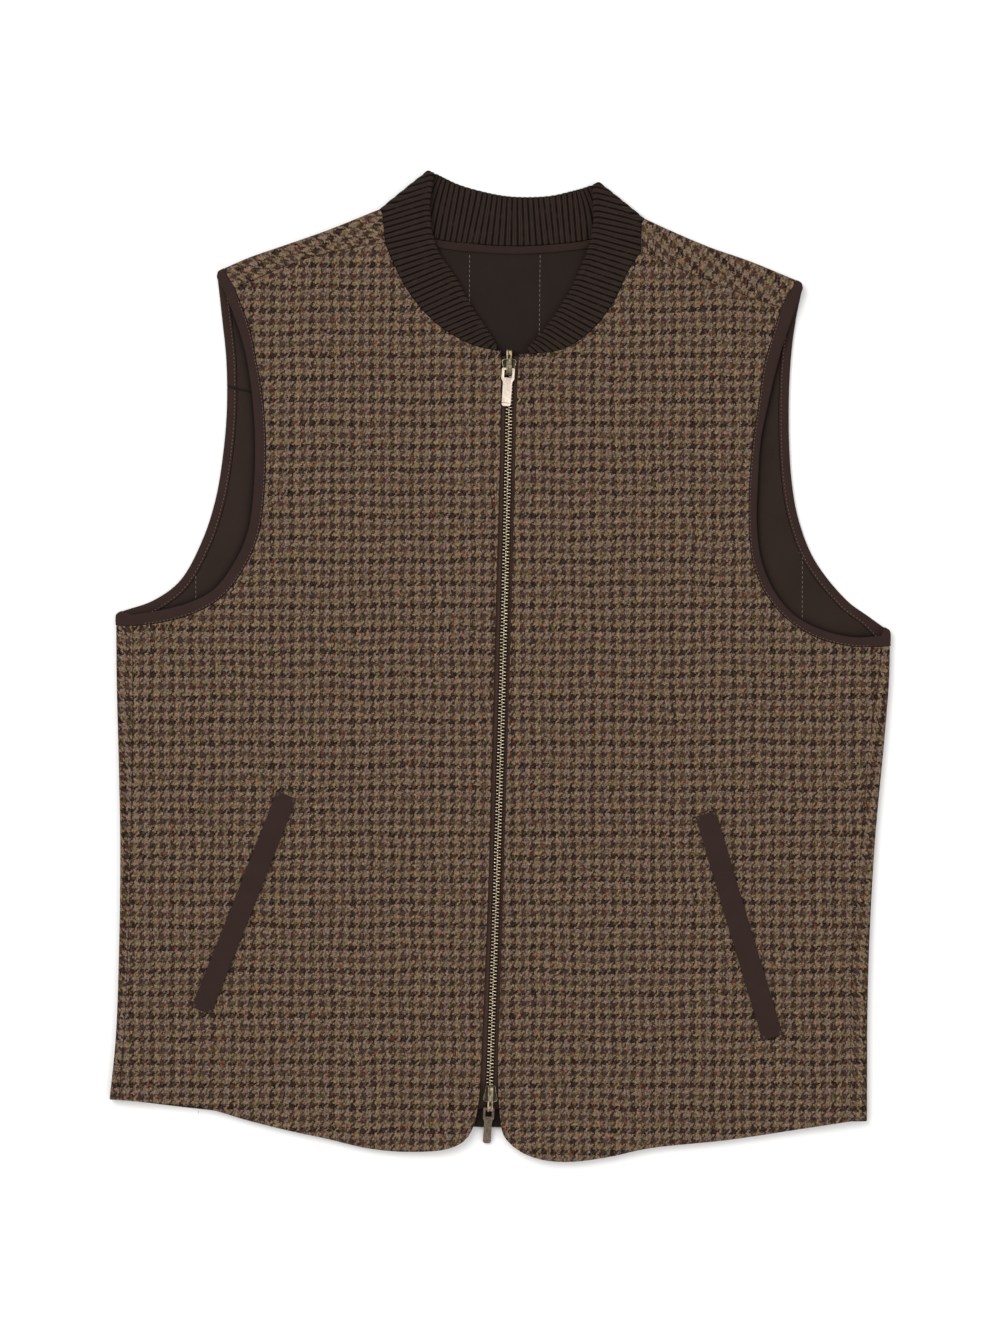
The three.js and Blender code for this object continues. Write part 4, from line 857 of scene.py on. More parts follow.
# Height of the armhole's edge over distances from the middle
armhole_rise = table("away y", [[190, 180], [215, 72], [262, 28]])
places = []
for number in range(len(channels["top_x"])):
    y = np.arange(CHANNEL_FOOT + CHANNEL_CLEAR, CHANNEL_TOP, CHANNEL_PITCH)
    x = channel_x(number, y)
    top_y = np.interp(x, top[:, 0], top[:, 1])
    armhole_y = np.interp(np.abs(x), armhole_rise["away"], armhole_rise["y"])
    bound_y = np.where(np.abs(x) > IN_NECK, armhole_y, top_y)
    keep = y < np.minimum(top_y, bound_y) - CHANNEL_CLEAR
    places.append(np.stack([x, y], 1)[keep])
middles = np.concatenate(places)
middles = raised(middles, lining_height(*middles.T) + LINING / 2)
sew("channel_stitches", middles, np.tile([0.0, 1.0, 0.0], (len(middles), 1)), CHANNEL_STITCH,
    CHANNEL_THREAD, pale_thread, "lining")

JOIN_THREAD = 0.75 * MM
JOIN_OVERLAP = 1.1
join_ends = table("x y z far_x far_y far_z", [
    [-190.6, 195.9, 3.3, -184.8, 194.0, 3.45], [-185.0, 194.1, 3.25, -172.0, 191.3, 3.25]])
start, far = (np.stack([join_ends[k + axis] for axis in "xyz"], 1) for k in ("", "far_"))
for k, name in enumerate(("over_binding", "over_lining")):
    reach = np.linalg.norm(far[k] - start[k])
    sew(f"join_seam_{name}", (start[k] + far[k])[None] / 2, ((far[k] - start[k]) / reach)[None],
        reach * JOIN_OVERLAP, JOIN_THREAD, facing_cloth, "lining")

# Neck tape
# A narrow dark twill tape sewn over the back neck seam, on top of the lining.
NECK_TAPE_WIDTH = 5.2 * MM
NECK_TAPE_Z = 3.95 * MM
NECK_TAPE_BULGE = 0.25 * MM
NECK_TAPE_WALL = 0.8 * MM
NECK_TAPE_SETBACK = 0.4 * MM
NECK_TAPE_SPAN = slice(8, -4)
twill = new_material(
    "dark_twill", twill_finish(colour(38, 25, 22), colour(58, 42, 38), 0.55 * MM, 0.1 * MM),
    Roughness=0.82, Specular_IOR_Level=0.1)
seam = neck_back[NECK_TAPE_SPAN, :2]
share = np.linspace(0, 1, 6)[:, None, None]
strip = seam - [0, NECK_TAPE_SETBACK] - (1 - share) * [0, NECK_TAPE_WIDTH]
bulge = np.sin(np.pi * share[..., 0]) * NECK_TAPE_BULGE
points = np.dstack([strip, NECK_TAPE_Z + np.broadcast_to(bulge, strip.shape[:2])])
neck_twill = new_material(
    "neck_twill", twill_finish(colour(33, 23, 19), colour(50, 37, 32), 0.55 * MM, 0.1 * MM),
    Roughness=0.82, Specular_IOR_Level=0.1)
tape = new_piece("neck_tape_cloth", *merged([(points, strip)]), neck_twill, "neck_tape", "twill")
give_wall(tape, NECK_TAPE_WALL, LINING_EDGE)

# Armhole bindings
# A bias strip of dark twill folded round each armhole's raw edge, from the back over the shoulder
# and down the front. Its seam edge is sewn down with a dotted row of pale stitches.
BINDING_BACK = 3.5 * MM
BINDING_FRONT = 2.4 * MM
CORNER_ROUND = 1.8 * MM
STRIP_GAP = 0.08 * MM
binding_section = table("across height", [
    [0.0, 0.55], [0.05, 0.86], [0.14, 0.95], [0.22, 0.84], [0.32, 0.97], [0.5, 1.0], [0.68, 0.98],
    [0.82, 0.90], [0.92, 0.72], [0.98, 0.42]], unit=1.0)


def binding_stations(side):
    """Seam point, free point, direction that faces outwards and thickness at each station, once
    round the armhole. At the two folds the strip turns over as a half circle."""
    line, sign = lines[side], SIDES[side]
    lift = (BINDING_BACK - TWEED) / 2
    parts = []

    def add(seam, free, outer, thickness):
        n = len(seam)
        parts.append([seam, free, np.broadcast_to(outer, (n, 3)), np.broadcast_to(thickness, n)])

    def turn_over(seam, free, outward, reverse):
        turn = np.linspace(0, np.pi, FOLD_STEPS + 1)[1:, None]
        share = turn / np.pi
        rise = BACK_Z + lift * (1 - share) + FOLD_RADIUS * (1 - np.cos(turn))
        shift = outward * FOLD_RADIUS * np.sin(turn)
        order = slice(None, None, -1 if reverse else 1)
        drawn_in = (seam - free) / np.linalg.norm(seam - free) * CORNER_ROUND * np.sin(turn) ** 2
        rows = [np.append(point[:2], 0) + shift + rise * UP + drawn
                for point, drawn in ((seam, 0), (free, drawn_in))]
        outer = outward * np.sin(turn) - np.cos(turn) * UP
        thickness = (BINDING_BACK * (1 - share) + BINDING_FRONT * share)[:, 0]
        add(rows[0][order], rows[1][order], outer[order], thickness[order])

    back_seam = line["arm_back"] + [0, 0, lift]
    back_free = raised(line["arm_back_free"], BACK_Z + lift)
    add(back_seam, back_free, -UP, BINDING_BACK)
    turn_over(back_seam[-1], back_free[-1], shoulder_outward(side)[0], False)
    add(line["arm_front"], line["arm_front_free"], UP, BINDING_FRONT)
    turn_over(back_seam[0], back_free[0], np.array([sign, 0.0, 0.0]), True)
    return [np.concatenate(column) for column in zip(*parts)]


def binding(side):
    """The section carried once round the armhole: its upper half runs from the seam to the free
    edge, and its lower half, the same mirrored, runs back. A slow sine times a quick one puckers it
    by up to 8 per cent of its thickness."""
    seam, free, outer, thickness = binding_stations(side)
    across = free - seam
    width = np.linalg.norm(across, axis=1)
    across /= width[:, None]
    share = np.concatenate([binding_section["across"], [1.0], binding_section["across"][::-1]])
    height = np.concatenate([binding_section["height"], [0.0], -binding_section["height"][::-1]])
    reach = STRIP_GAP + (width[:, None] - STRIP_GAP) * share
    along = lengths((seam + free) / 2)
    pucker = 1 + 0.08 * np.sin(along / (1.3 * MM)) * np.sin(along / (8.3 * MM))
    rings = (seam[:, None] + across[:, None] * reach[..., None]
             + outer[:, None] * (height * (thickness * pucker)[:, None] / 2)[..., None])
    faces = ring_faces(len(rings), len(share), closed=True)
    places = np.dstack([np.broadcast_to(along[:, None], reach.shape), reach]).reshape(-1, 2)
    at_corners = places[faces]
    last = slice(-len(share), None)
    at_corners[last, 1:3, 0] += along[-1] + np.linalg.norm(seam[0] - seam[-1])
    return rings, faces, at_corners.reshape(-1, 2)


def facing_out(points, faces):
    """Whether the faces of a closed body point outwards: the volume they enclose comes out positive."""
    a, b, c, d = (points[faces[:, k]] for k in range(4))
    volume = ((a * np.cross(b, c)).sum() + (a * np.cross(c, d)).sum()) / 6
    return volume > 0


BINDING_STITCH = 1.05 * MM
BINDING_THREAD = 0.24 * MM
STITCH_SINK = 0.12 * MM
BINDING_PITCH = 2.6 * MM
rosy_thread = new_material(
    "rosy_thread", thread_finish(colour(80, 58, 51), colour(140, 112, 100), 900.0), Roughness=0.7)
for side in SIDES:
    rings, faces, places = binding(side)
    points = rings.reshape(-1, 3)
    if not facing_out(points, faces):
        faces = faces[:, ::-1]
        places = places.reshape(-1, 4, 2)[:, ::-1].reshape(-1, 2)
    piece = new_piece(f"binding_twill_{side}", points, faces, places, twill,
                      f"armhole_binding_{side}", "twill")

    seam, free, outer, thickness = binding_stations(side)
    across = (free - seam) / np.linalg.norm(free - seam, axis=1)[:, None]
    for where, place, rows in (
            ("back", 1.45 * MM, slice(2, ARMHOLE_BACK_ROWS - 3)),
            ("front", 0.8 * MM, slice(ARMHOLE_BACK_ROWS + FOLD_STEPS + 4, -FOLD_STEPS - 4))):
        level = (thickness[rows, None] / 2 - STITCH_SINK) * UP
        line = (seam + across * (STRIP_GAP + place))[rows] + level
        count = int(lengths(line)[-1] / BINDING_PITCH)
        line = respaced(line, 2 * count)
        middles = line[1::2]
        ways = line[2::2] - line[:-1:2]
        ways /= np.linalg.norm(ways, axis=1)[:, None]
        sew(f"binding_stitches_{where}_{side}", middles, ways, BINDING_STITCH, BINDING_THREAD,
            rosy_thread, "twill")

# Collar
# A stand collar of dark-brown wool rib knit: one strip folded double lengthwise, whose fold is the
# free edge, sewn round the neckline from zip end to zip end. It lies folded at both shoulders.
COLLAR = 3.6 * MM
COLLAR_GAP = 0.1 * MM
RIB_DEPTH = 0.75 * MM
RIB_PITCH = 4.0 * MM
RIB_SAMPLES = 8
RIB_SHEAR = 21 * MM
SHEAR_IN_FRONT = 30 * MM
SHEAR_BEHIND = 55 * MM
COLLAR_FOLD_RADIUS = 2.8 * MM
COLLAR_ROLL = 5.6 * MM
ROLL_SLANT = 1.3 * MM
TIP_ROUND = 2.2 * MM
TIP_REACH = 4.0 * MM
SCALLOP = 0.5 * MM
FLAT_SPOTS = 27
collar_section = table("spot level furrow", [
    [0.0, 0.85, 0.0], [0.12, 0.97, 0.0], [0.25, 1.0, 0.0], [0.8, 1.0, 0.0], [0.9, 1.0, 0.1],
    [1.0, 1.0, 0.38], [1.12, 1.0, 0.2], [1.3, 1.0, 0.04], [1.55, 1.0, 0.0], [1.78, 0.94, 0.0],
    [1.92, 0.7, 0.0], [1.985, 0.36, 0.0], [2.0, 0.0, 0.0]], unit=1.0)
collar_shoulder = {"right": np.array([-48.7, 321.0]) * MM, "left": np.array([65.0, 312.0]) * MM}


def capped(rings):
    """Points and faces of a closed body: the sides between its rings of points and a face over each
    end, all pointing outwards."""
    points = rings.reshape(-1, 3)
    size = rings.shape[1]
    faces = ring_faces(len(rings), size)
    turned = 1 if facing_out(points, faces) else -1
    first, last = np.arange(size), np.arange(len(points) - size, len(points))
    return points, faces[:, ::turned].tolist() + [first[::turned].tolist(), last[::-turned].tolist()]


def collar_stations():
    """Seam point, free point and outward direction at stations from the right front's zip end over
    the back to the left front's. Both fronts lie over the back and turn over at the shoulders."""
    parts = []
    top = COLLAR / 2 + 2 * COLLAR_FOLD_RADIUS

    def front(side):
        line = lines[side]
        seam, free = line["neck_front"].copy(), line["neck_front_free"].copy()
        settle = smoothstep(np.linspace(0, 8, len(seam)), 0, 3)
        level = np.maximum(seam[:, 2], 6.4 * MM)
        free[:, 2] = top + (np.maximum(seam[:, 2] - 0.8 * MM, 5.9 * MM) - top) * settle
        seam[:, 2] = top + (level - top) * settle
        middle = (line["shoulder_fold"][-1, :2] + seam[0, :2]) / 2
        seam = np.vstack([np.append(middle, top), seam])
        free = np.vstack([np.append(collar_shoulder[side], top), free])
        return seam, free, np.tile(UP, (len(seam), 1))

    def fold(side, seam, free):
        run = (free - seam)[:2]
        square = np.array([-run[1], run[0]]) / np.linalg.norm(run)
        square = square if square[1] > 0 else -square
        turn = np.linspace(np.pi, 0, FOLD_STEPS + 1)[:-1, None]
        height = (COLLAR / 2 + COLLAR_FOLD_RADIUS * (1 - np.cos(turn))) * UP
        reach = COLLAR_FOLD_RADIUS * np.sin(turn)
        rows = [np.append(point[:2], 0) + np.append(way, 0) * reach + height
                for point, way in ((seam, fold_outward[side]["neck"]), (free, square))]
        outer = np.append(square, 0) * np.sin(turn) - np.cos(turn) * UP
        return rows[0], rows[1], outer

    back_free = raised(smooth(collar_back, NECK_COLUMNS, "free_x", "free_y"), COLLAR / 2)
    back_seam = raised(neck_back[:, :2], COLLAR / 2)
    parts.append([column[::-1] for column in front("right")])
    parts.append(fold("right", back_seam[0], back_free[0]))
    parts.append((back_seam, back_free, np.tile(-UP, (len(back_seam), 1))))
    parts.append([column[::-1] for column in fold("left", back_seam[-1], back_free[-1])])
    parts.append(front("left"))
    return [np.concatenate(column) for column in zip(*parts)]


def collar():
    """A flat rounded section carried along the neckline. Each rib lifts both faces as a half sine
    does, to the power of 0.5. Near a shoulder's fold the ribs cross it: their phase is moved by a
    shear times the share of the width less a half. On the fronts a furrow sets off the last stretch
    before the free edge, a soft roll whose ribs bend towards the zip. A section's spot goes from 0 at
    the seam over 1 where the roll starts to 2 at the free edge, which is drawn in at the shoulder
    tips and between ribs. Two sines along the strip make its width waver a little."""
    seam, free, outer = collar_stations()
    way = lengths((seam + free) / 2)
    ribs = round(way[-1] / RIB_PITCH)
    places = np.linspace(0, way[-1], ribs * RIB_SAMPLES + 1)
    seam, free, outer = (np.stack([np.interp(places, way, c) for c in v.T], 1) for v in (seam, free, outer))
    outer /= np.linalg.norm(outer, axis=1)[:, None]
    across = free - seam
    width = np.linalg.norm(across, axis=1)
    across /= width[:, None]
    middle = len(places) // 2
    shear = np.zeros(len(places))
    for part, sign in ((slice(0, middle), 1), (slice(middle, None), -1)):
        tip = places[part][np.abs(outer[part, 2]).argmin()]
        width = width - TIP_ROUND * np.exp(-((places - tip) / TIP_REACH) ** 2)
        behind = (places - tip) * sign
        away = np.maximum(behind / SHEAR_BEHIND, -behind / SHEAR_IN_FRONT)
        shear += sign * RIB_SHEAR * np.maximum(0, 1 - away)
    in_front = smoothstep(outer[:, 2], -0.2, 0.6)[:, None]
    in_roll = collar_section["spot"] > 1
    spots = np.concatenate([np.linspace(0, 1, FLAT_SPOTS), collar_section["spot"][in_roll]])
    into_roll = np.maximum(spots - 1, 0)
    start = (width - COLLAR_ROLL - COLLAR_GAP)[:, None]
    reach = COLLAR_GAP + start * np.minimum(spots, 1) + COLLAR_ROLL * into_roll
    to_zip = np.where(np.arange(len(places)) < middle, -1, 1)[:, None]
    slant = ROLL_SLANT * to_zip * in_front * into_roll**2 - shear[:, None] * (reach / width[:, None] - 0.5)
    rib = np.abs(np.sin(np.pi * (places[:, None] - slant) / RIB_PITCH)) ** 0.5
    level, furrow = (np.interp(spots, collar_section["spot"], collar_section[k]) for k in ("level", "furrow"))
    upper = (COLLAR / 2 - RIB_DEPTH * (1 - rib)) * (level - in_front * furrow)
    heights = np.hstack([upper, -upper[:, ::-1][:, 1:]])
    wobble = 0.12 * MM * np.sin(places / (9.1 * MM)) * np.sin(places / (23.0 * MM))
    reach = reach + wobble[:, None] - SCALLOP * (1 - rib) * into_roll**2
    reaches, slants = (np.hstack([side, side[:, ::-1][:, 1:]]) for side in (reach, slant))
    rings = (seam[:, None] + across[:, None] * reaches[..., None]
             + outer[:, None] * heights[..., None])
    maps = np.dstack([places[:, None] - slants, reaches])
    return rings, maps


def rib_finish(tree):
    """Rib knit: each rib two columns of slanting stitches with a fine groove between them, painted
    light on its crests and on the stitch loops, and painted shade in the furrow and in the groove. A
    stitch is a sine along the rib, shifted with the distance from the rib's middle."""
    place = put(tree, "UVMap", uv_map="cloth")
    parts = put(tree, "SeparateXYZ", {0: place}).node.outputs
    phase = calc(tree, "FRACT", calc(tree, "DIVIDE", parts[0], RIB_PITCH))
    off = calc(tree, "ABSOLUTE", calc(tree, "SUBTRACT", phase, 0.5))
    # Painted light on each rib's crest, fading to painted shade in the furrow between ribs
    painted_crest_light = put(tree, "MapRange", {"Value": off, "From Min": 0.46, "From Max": 0.12})
    course = calc(tree, "MULTIPLY_ADD", off, 2.4, calc(tree, "DIVIDE", parts[1], 1.5 * MM))
    loop = calc(tree, "SINE", calc(tree, "MULTIPLY", course, 2 * math.pi))
    middle = put(tree, "MapRange", {"Value": off, "From Min": 0.0, "From Max": 0.1})
    stitch = calc(tree, "MULTIPLY", calc(tree, "MULTIPLY_ADD", loop, 0.42, 0.58), middle)
    mottle = use_group(tree, heather, {"Place": place, "Fibre": 0.26 * MM, "Stretch": 2.5})
    height = calc(tree, "MULTIPLY_ADD", mottle["Shade"], 0.7, stitch)
    # Painted shade in the fine groove down each rib's middle
    groove = put(tree, "MapRange", {"Value": off, "From Min": 0.02, "From Max": 0.13, "To Min": 0.45})
    # Colour from the stitch relief is painted light on the loops, over the fibre mottle
    shade = calc(tree, "MULTIPLY", painted_crest_light, calc(tree, "MULTIPLY_ADD", height, 0.5, 0.33))
    shade = calc(tree, "MULTIPLY", shade, groove)
    woven = blend(tree, shade, colour(11, 7, 5), colour(60, 48, 43))
    woven = blend(tree, calc(tree, "MULTIPLY", mottle["Warm"], 0.25), woven, colour(64, 50, 40))
    relief = put(tree, "Bump", {"Height": height, "Strength": 0.7, "Distance": 0.3 * MM})
    return {"Base Color": woven, "Normal": relief}


rib_knit = new_material("rib_knit", rib_finish, Roughness=0.92, Specular_IOR_Level=0.06)
rings, maps = collar()
piece = new_piece("collar_rib_knit", *capped(rings), maps.reshape(-1, 2), rib_knit, "collar_rib",
                  "rib_knit")

# Pocket welts
# A folded strip of dark twill over each slanted pocket mouth, sewn down at its ends with a few
# grey bar-tack threads.
WELT = 1.2 * MM
WELT_CLEAR = 0.35 * MM
WELT_ROWS = 80
WELT_COLUMNS = 10
WELT_EDGE = 0.4 * MM
WELT_BOW = 0.2 * MM
WELT_CROWN = 0.3 * MM
WELT_RIPPLE = 0.16 * MM
TACK_LIFT = 0.12 * MM
TACK_STITCH = 1.7 * MM
TACK_THREAD = 0.16 * MM
welts = {
    "right": {"x": -208.6 * MM, "y": -240.6 * MM, "length": 162 * MM, "width": 14.5 * MM, "slant": 21.6},
    "left": {"x": 190.4 * MM, "y": -259.3 * MM, "length": 163 * MM, "width": 14.7 * MM, "slant": -16.7}}


def welt_places(side, along, across):
    """Plan of points on a welt: so far along it and so far across from its middle line."""
    welt = welts[side]
    slant = math.radians(welt["slant"])
    up_x, up_y = math.sin(slant), math.cos(slant)
    return welt["x"] + up_x * along + up_y * across, welt["y"] + up_y * along - up_x * across


def welt_height(x, y):
    """Middle of a welt: on the front under it."""
    return front_height(x, y) + (TWEED + WELT) / 2 + WELT_CLEAR


grey_thread = new_material("grey_thread", Base_Color=colour(84, 70, 64), Roughness=0.6)
for side in SIDES:
    welt = welts[side]
    along, across = np.meshgrid(np.linspace(0, welt["length"], WELT_ROWS + 1),
                                np.linspace(-0.5, 0.5, WELT_COLUMNS + 1) * welt["width"], indexing="ij")
    bow = WELT_BOW * np.sin(np.pi * along / welt["length"])
    ripple = (WELT_RIPPLE * np.sin(along / (7.3 * MM)) * np.sin(along / (19 * MM))
              * np.cos(across / (4.1 * MM)))
    x, y = welt_places(side, along, across - SIDES[side] * bow)
    crown = WELT_CROWN * np.cos(np.pi * across / welt["width"])
    points = np.dstack([x, y, welt_height(x, y) + crown + ripple])
    piece = new_piece(f"welt_twill_{side}", *merged([(points, np.dstack([across, along]))]), twill,
                      f"pocket_welt_{side}", "twill")
    give_wall(piece, WELT, WELT_EDGE)

    tacks_along = np.array([0.9, 1.7, 2.5]) * MM
    tacks = np.concatenate([tacks_along, welt["length"] - tacks_along])
    places = np.repeat(tacks, 2)
    sides_of = np.tile([-0.40, 0.40], len(tacks)) * welt["width"]
    x, y = welt_places(side, places, sides_of)
    middles = np.stack([x, y, welt_height(x, y) + WELT / 2 + TACK_LIFT], 1)
    far_x, far_y = welt_places(side, places, sides_of + MM)
    ways = np.stack([far_x - x, far_y - y, np.zeros(len(x))], 1) / MM
    sew(f"bar_tacks_{side}", middles, ways, TACK_STITCH, TACK_THREAD, grey_thread, "twill")

# Zip tapes
# Two dark woven tapes under the fronts' edges, with a thicker cord along their inner edge that the
# teeth are clamped on. Painted shade darkens the cord between the teeth and the tapes near their
# foot, where the fronts shadow them.
ZIP_TAPE_TOP = 216.5 * MM
ZIP_TAPE_FOOT = -309.5 * MM
ZIP_TAPE_Z = 5.8 * MM
ZIP_TAPE_ROWS = 160
CORD_EDGE = 3.2 * MM
# How dark the painted shade is on the cord between the teeth and near the foot, and the heights over which
# the painted shade at the foot fades out
CORD_SHADE = 0.75
FOOT_SHADE = 0.6
FOOT_SHADE_LOW = -300 * MM
FOOT_SHADE_HIGH = -280 * MM
tape_section = table("offset half", [
    [1.7, 0.25], [1.95, 0.62], [2.5, 0.75], [3.0, 0.6], [3.4, 0.42], [6.0, 0.40], [10.0, 0.40],
    [14.7, 0.38], [15.0, 0.2]])


def zip_frame(y):
    """Points on the zip's middle, the direction along it and the level one to its left-hand side."""
    x = zip_x(y)
    way = np.stack([zip_x(y + MM) - zip_x(y - MM), np.full_like(y, 2 * MM), np.zeros_like(y)], 1)
    way /= np.linalg.norm(way, axis=1)[:, None]
    return np.stack([x, y, np.zeros_like(y)], 1), way, np.cross(way, UP)


tape_cloth = new_material(
    "zip_tape_cloth", twill_finish(colour(43, 30, 24), colour(79, 59, 50), 0.8 * MM, 0.12 * MM),
    Roughness=0.85, Specular_IOR_Level=0.08)
for side, sign in SIDES.items():
    y = np.linspace(ZIP_TAPE_FOOT, ZIP_TAPE_TOP, ZIP_TAPE_ROWS)
    middle, way, to_side = zip_frame(y)
    offsets = np.concatenate([tape_section["offset"], tape_section["offset"][::-1]])
    heights = np.concatenate([tape_section["half"], -tape_section["half"][::-1]]) + ZIP_TAPE_Z
    rings = (middle[:, None] + to_side[:, None] * (sign * offsets)[:, None] + heights[:, None] * UP)
    maps = np.dstack(np.broadcast_arrays(offsets, y[:, None])).reshape(-1, 2)
    piece = new_piece(f"zip_tape_cloth_{side}", *capped(rings), maps, tape_cloth, f"zip_tape_{side}",
                      "zip_tape")
    # Painted shade: deep shade on the cord between the teeth, and shadow on the tape near its foot
    painted_shade_under_teeth = np.where(offsets < CORD_EDGE, CORD_SHADE, 0.0)
    painted_shade_at_foot = FOOT_SHADE * (1 - smoothstep(y, FOOT_SHADE_LOW, FOOT_SHADE_HIGH))
    mark(piece, "shade", np.maximum(painted_shade_under_teeth[None, :], painted_shade_at_foot[:, None]).ravel())

# Zip teeth
# Antique-brass teeth clamped on the tapes' cords, one pitch apart on each side and half a pitch
# apart between the sides, their heads hooked between each other on the middle line.
TOOTH_PITCH = 2.4 * MM
CHAIN_TOP = 212 * MM
CHAIN_FOOT = -303 * MM
TOOTH_Z = 5.8 * MM
tooth_sections = table("offset along height", [
    [2.5, 0.26, 0.62], [2.3, 0.42, 1.0], [1.5, 0.42, 1.06], [0.8, 0.32, 0.96], [0.35, 0.32, 0.85],
    [-0.2, 0.46, 0.86], [-0.6, 0.3, 0.5]])


def metal_group():
    """Wear on metal: Bright marks rubbed places, Grain is fine pitting. Mark is the size of a rubbed
    place in metres."""
    tree, given, gives = new_group("metal_wear", {"Mark": "Float"}, {"Bright": "Float", "Grain": "Float"})
    place = put(tree, "TexCoord", output="Object")
    broad = put(tree, "VectorMath", {0: place, 1: given["Mark"]}, operation="DIVIDE")
    rubbed = put(tree, "TexNoise", {"Vector": broad, "Scale": 1.0, "Detail": 3.0, "Roughness": 0.6})
    bright = put(tree, "MapRange", {"Value": rubbed, "From Min": 0.38, "From Max": 0.64})
    tree.links.new(bright, gives["Bright"])
    fine = put(tree, "VectorMath", {0: broad, 1: (9.0, 9.0, 9.0)}, operation="MULTIPLY")
    grain = put(tree, "TexNoise", {"Vector": fine, "Scale": 1.0, "Detail": 2.0})
    tree.links.new(grain, gives["Grain"])
    return tree


metal_wear = metal_group()


def metal_finish(dull, bright, mark, rough_low, rough_high, line=None):
    """Makes the linked sockets of a worn metal between two colours, darkened where the piece's patina
    mark says so, which also holds painted shade in a bridge's slot, and on a thin line of painted
    shade across it at a place on its map, which stands for a groove."""
    def links(tree):
        wear = use_group(tree, metal_wear, {"Mark": mark})
        shade = blend(tree, wear["Bright"], dull, bright)
        dark = put(tree, "Attribute", output=2, attribute_name="patina")
        if line is not None:
            along = put(tree, "SeparateXYZ", {0: put(tree, "UVMap", uv_map="cloth")}, output=1)
            # A thin line of painted shade across the map, for a groove
            off = calc(tree, "ABSOLUTE", calc(tree, "SUBTRACT", along, line))
            painted_groove_line = put(tree, "MapRange", {
                "Value": off, "From Min": 0.4 * MM, "From Max": 0.15 * MM, "To Max": 0.6})
            dark = calc(tree, "MAXIMUM", dark, painted_groove_line)
        shade = blend(tree, dark, shade, colour(44, 43, 36))
        rough = put(tree, "MapRange", {"Value": wear["Grain"], "To Min": rough_low, "To Max": rough_high})
        relief = put(tree, "Bump", {"Height": wear["Grain"], "Strength": 0.25, "Distance": 0.04 * MM})
        return {"Base Color": shade, "Roughness": rough, "Normal": relief}
    return links


brass = new_material(
    "antique_brass", metal_finish(colour(158, 138, 106), colour(250, 236, 208), 1.1 * MM, 0.25, 0.45),
    Metallic=1.0)


def teeth(sign):
    """The tooth's seven sections, from the clamp to the head, set at each place along the zip on one
    side. A section has eight corners on a circle 1.05 times as wide, both of whose coordinates are
    raised to the power of 0.55, which makes it nearly square."""
    start = CHAIN_FOOT + (TOOTH_PITCH / 2 if sign > 0 else 0)
    y = np.arange(start, CHAIN_TOP, TOOTH_PITCH)
    middle, way, to_side = zip_frame(y)
    turn = (np.arange(8) + 0.5) * math.pi / 4
    ring = np.stack([np.cos(turn), np.sin(turn)], 1) * 1.05
    square = np.sign(ring) * np.abs(ring) ** 0.55
    count = len(tooth_sections["offset"])
    form = np.stack([
        np.broadcast_to(sign * tooth_sections["offset"][:, None], (count, 8)),
        tooth_sections["along"][:, None] * square[:, 0],
        TOOTH_Z + tooth_sections["height"][:, None] * square[:, 1]], -1).reshape(-1, 3)
    axes = np.stack([to_side, way, np.tile(UP, (len(y), 1))], 1)
    points = middle[:, None] + form @ axes
    tooth = capped(points[0].reshape(count, 8, 3))[1]
    starts = np.arange(len(y)) * 8 * count
    return points.reshape(-1, 3), [[start + k for k in face] for start in starts.tolist() for face in tooth]


for side, replaced in (("right", "zip_chain"), ("left", None)):
    points, faces = teeth(SIDES[side])
    new_piece(f"zip_teeth_{side}", points, faces, points[:, :2], brass, replaced, "zip_brass")

# Sliders
# Two cast brass sliders, one at the top and one upside down at the foot. Each has two plates with
# the teeth between them, side flanges, and a bridge over the upper plate that holds its pull.
PLATE = 0.8 * MM
PLATE_LOW_Z = 3.6 * MM
PLATE_HIGH_Z = 7.4 * MM
SLIDER_LENGTH = 18 * MM
BRIDGE_WIDTH = 3.8 * MM
BRIDGE_WALL = 1.1 * MM
PLATE_SOFT = 0.22 * MM
NECK_SOFT = 0.2 * MM
SLIDER_EDGE = 0.12 * MM
BRIDGE_PATINA = 0.42
GROOVE_PATINA = 0.45
SLOT_START = 11.0 * MM
SLOT_END = 13.9 * MM
UPPER_SLIDER_Y = 203 * MM
LOWER_SLIDER_Y = -293 * MM
slider_plan = table("along half", [
    [0.0, 3.2], [0.6, 3.6], [4.0, 3.9], [8.0, 4.8], [9.6, 5.25], [10.9, 4.5], [11.5, 3.0]])
bridge_path = table("along height", [
    [0.55, 7.9], [0.55, 10.0], [1.1, 10.85], [2.5, 11.4], [8.0, 11.55], [15.2, 11.55], [16.7, 11.3],
    [17.4, 10.4], [17.45, 7.9]])


def joined(bodies):
    """Several closed bodies as one list of points, of faces and of patinas."""
    starts = np.cumsum([0] + [len(body[0]) for body in bodies])
    faces = [[start + k for k in face] for body, start in zip(bodies, starts) for face in body[1]]
    return np.concatenate([body[0] for body in bodies]), faces, np.concatenate([body[2] for body in bodies])


def stacked(loop, levels):
    """A body from one outline, with the patina of its points: each level has a height, how far the
    outline is moved inwards and a patina, and the first and last are closed with a face."""
    rings = [raised(moved_inwards(loop, inward), z) for z, inward, _ in levels]
    return *capped(np.stack(rings)), np.repeat([level[2] for level in levels], len(loop))


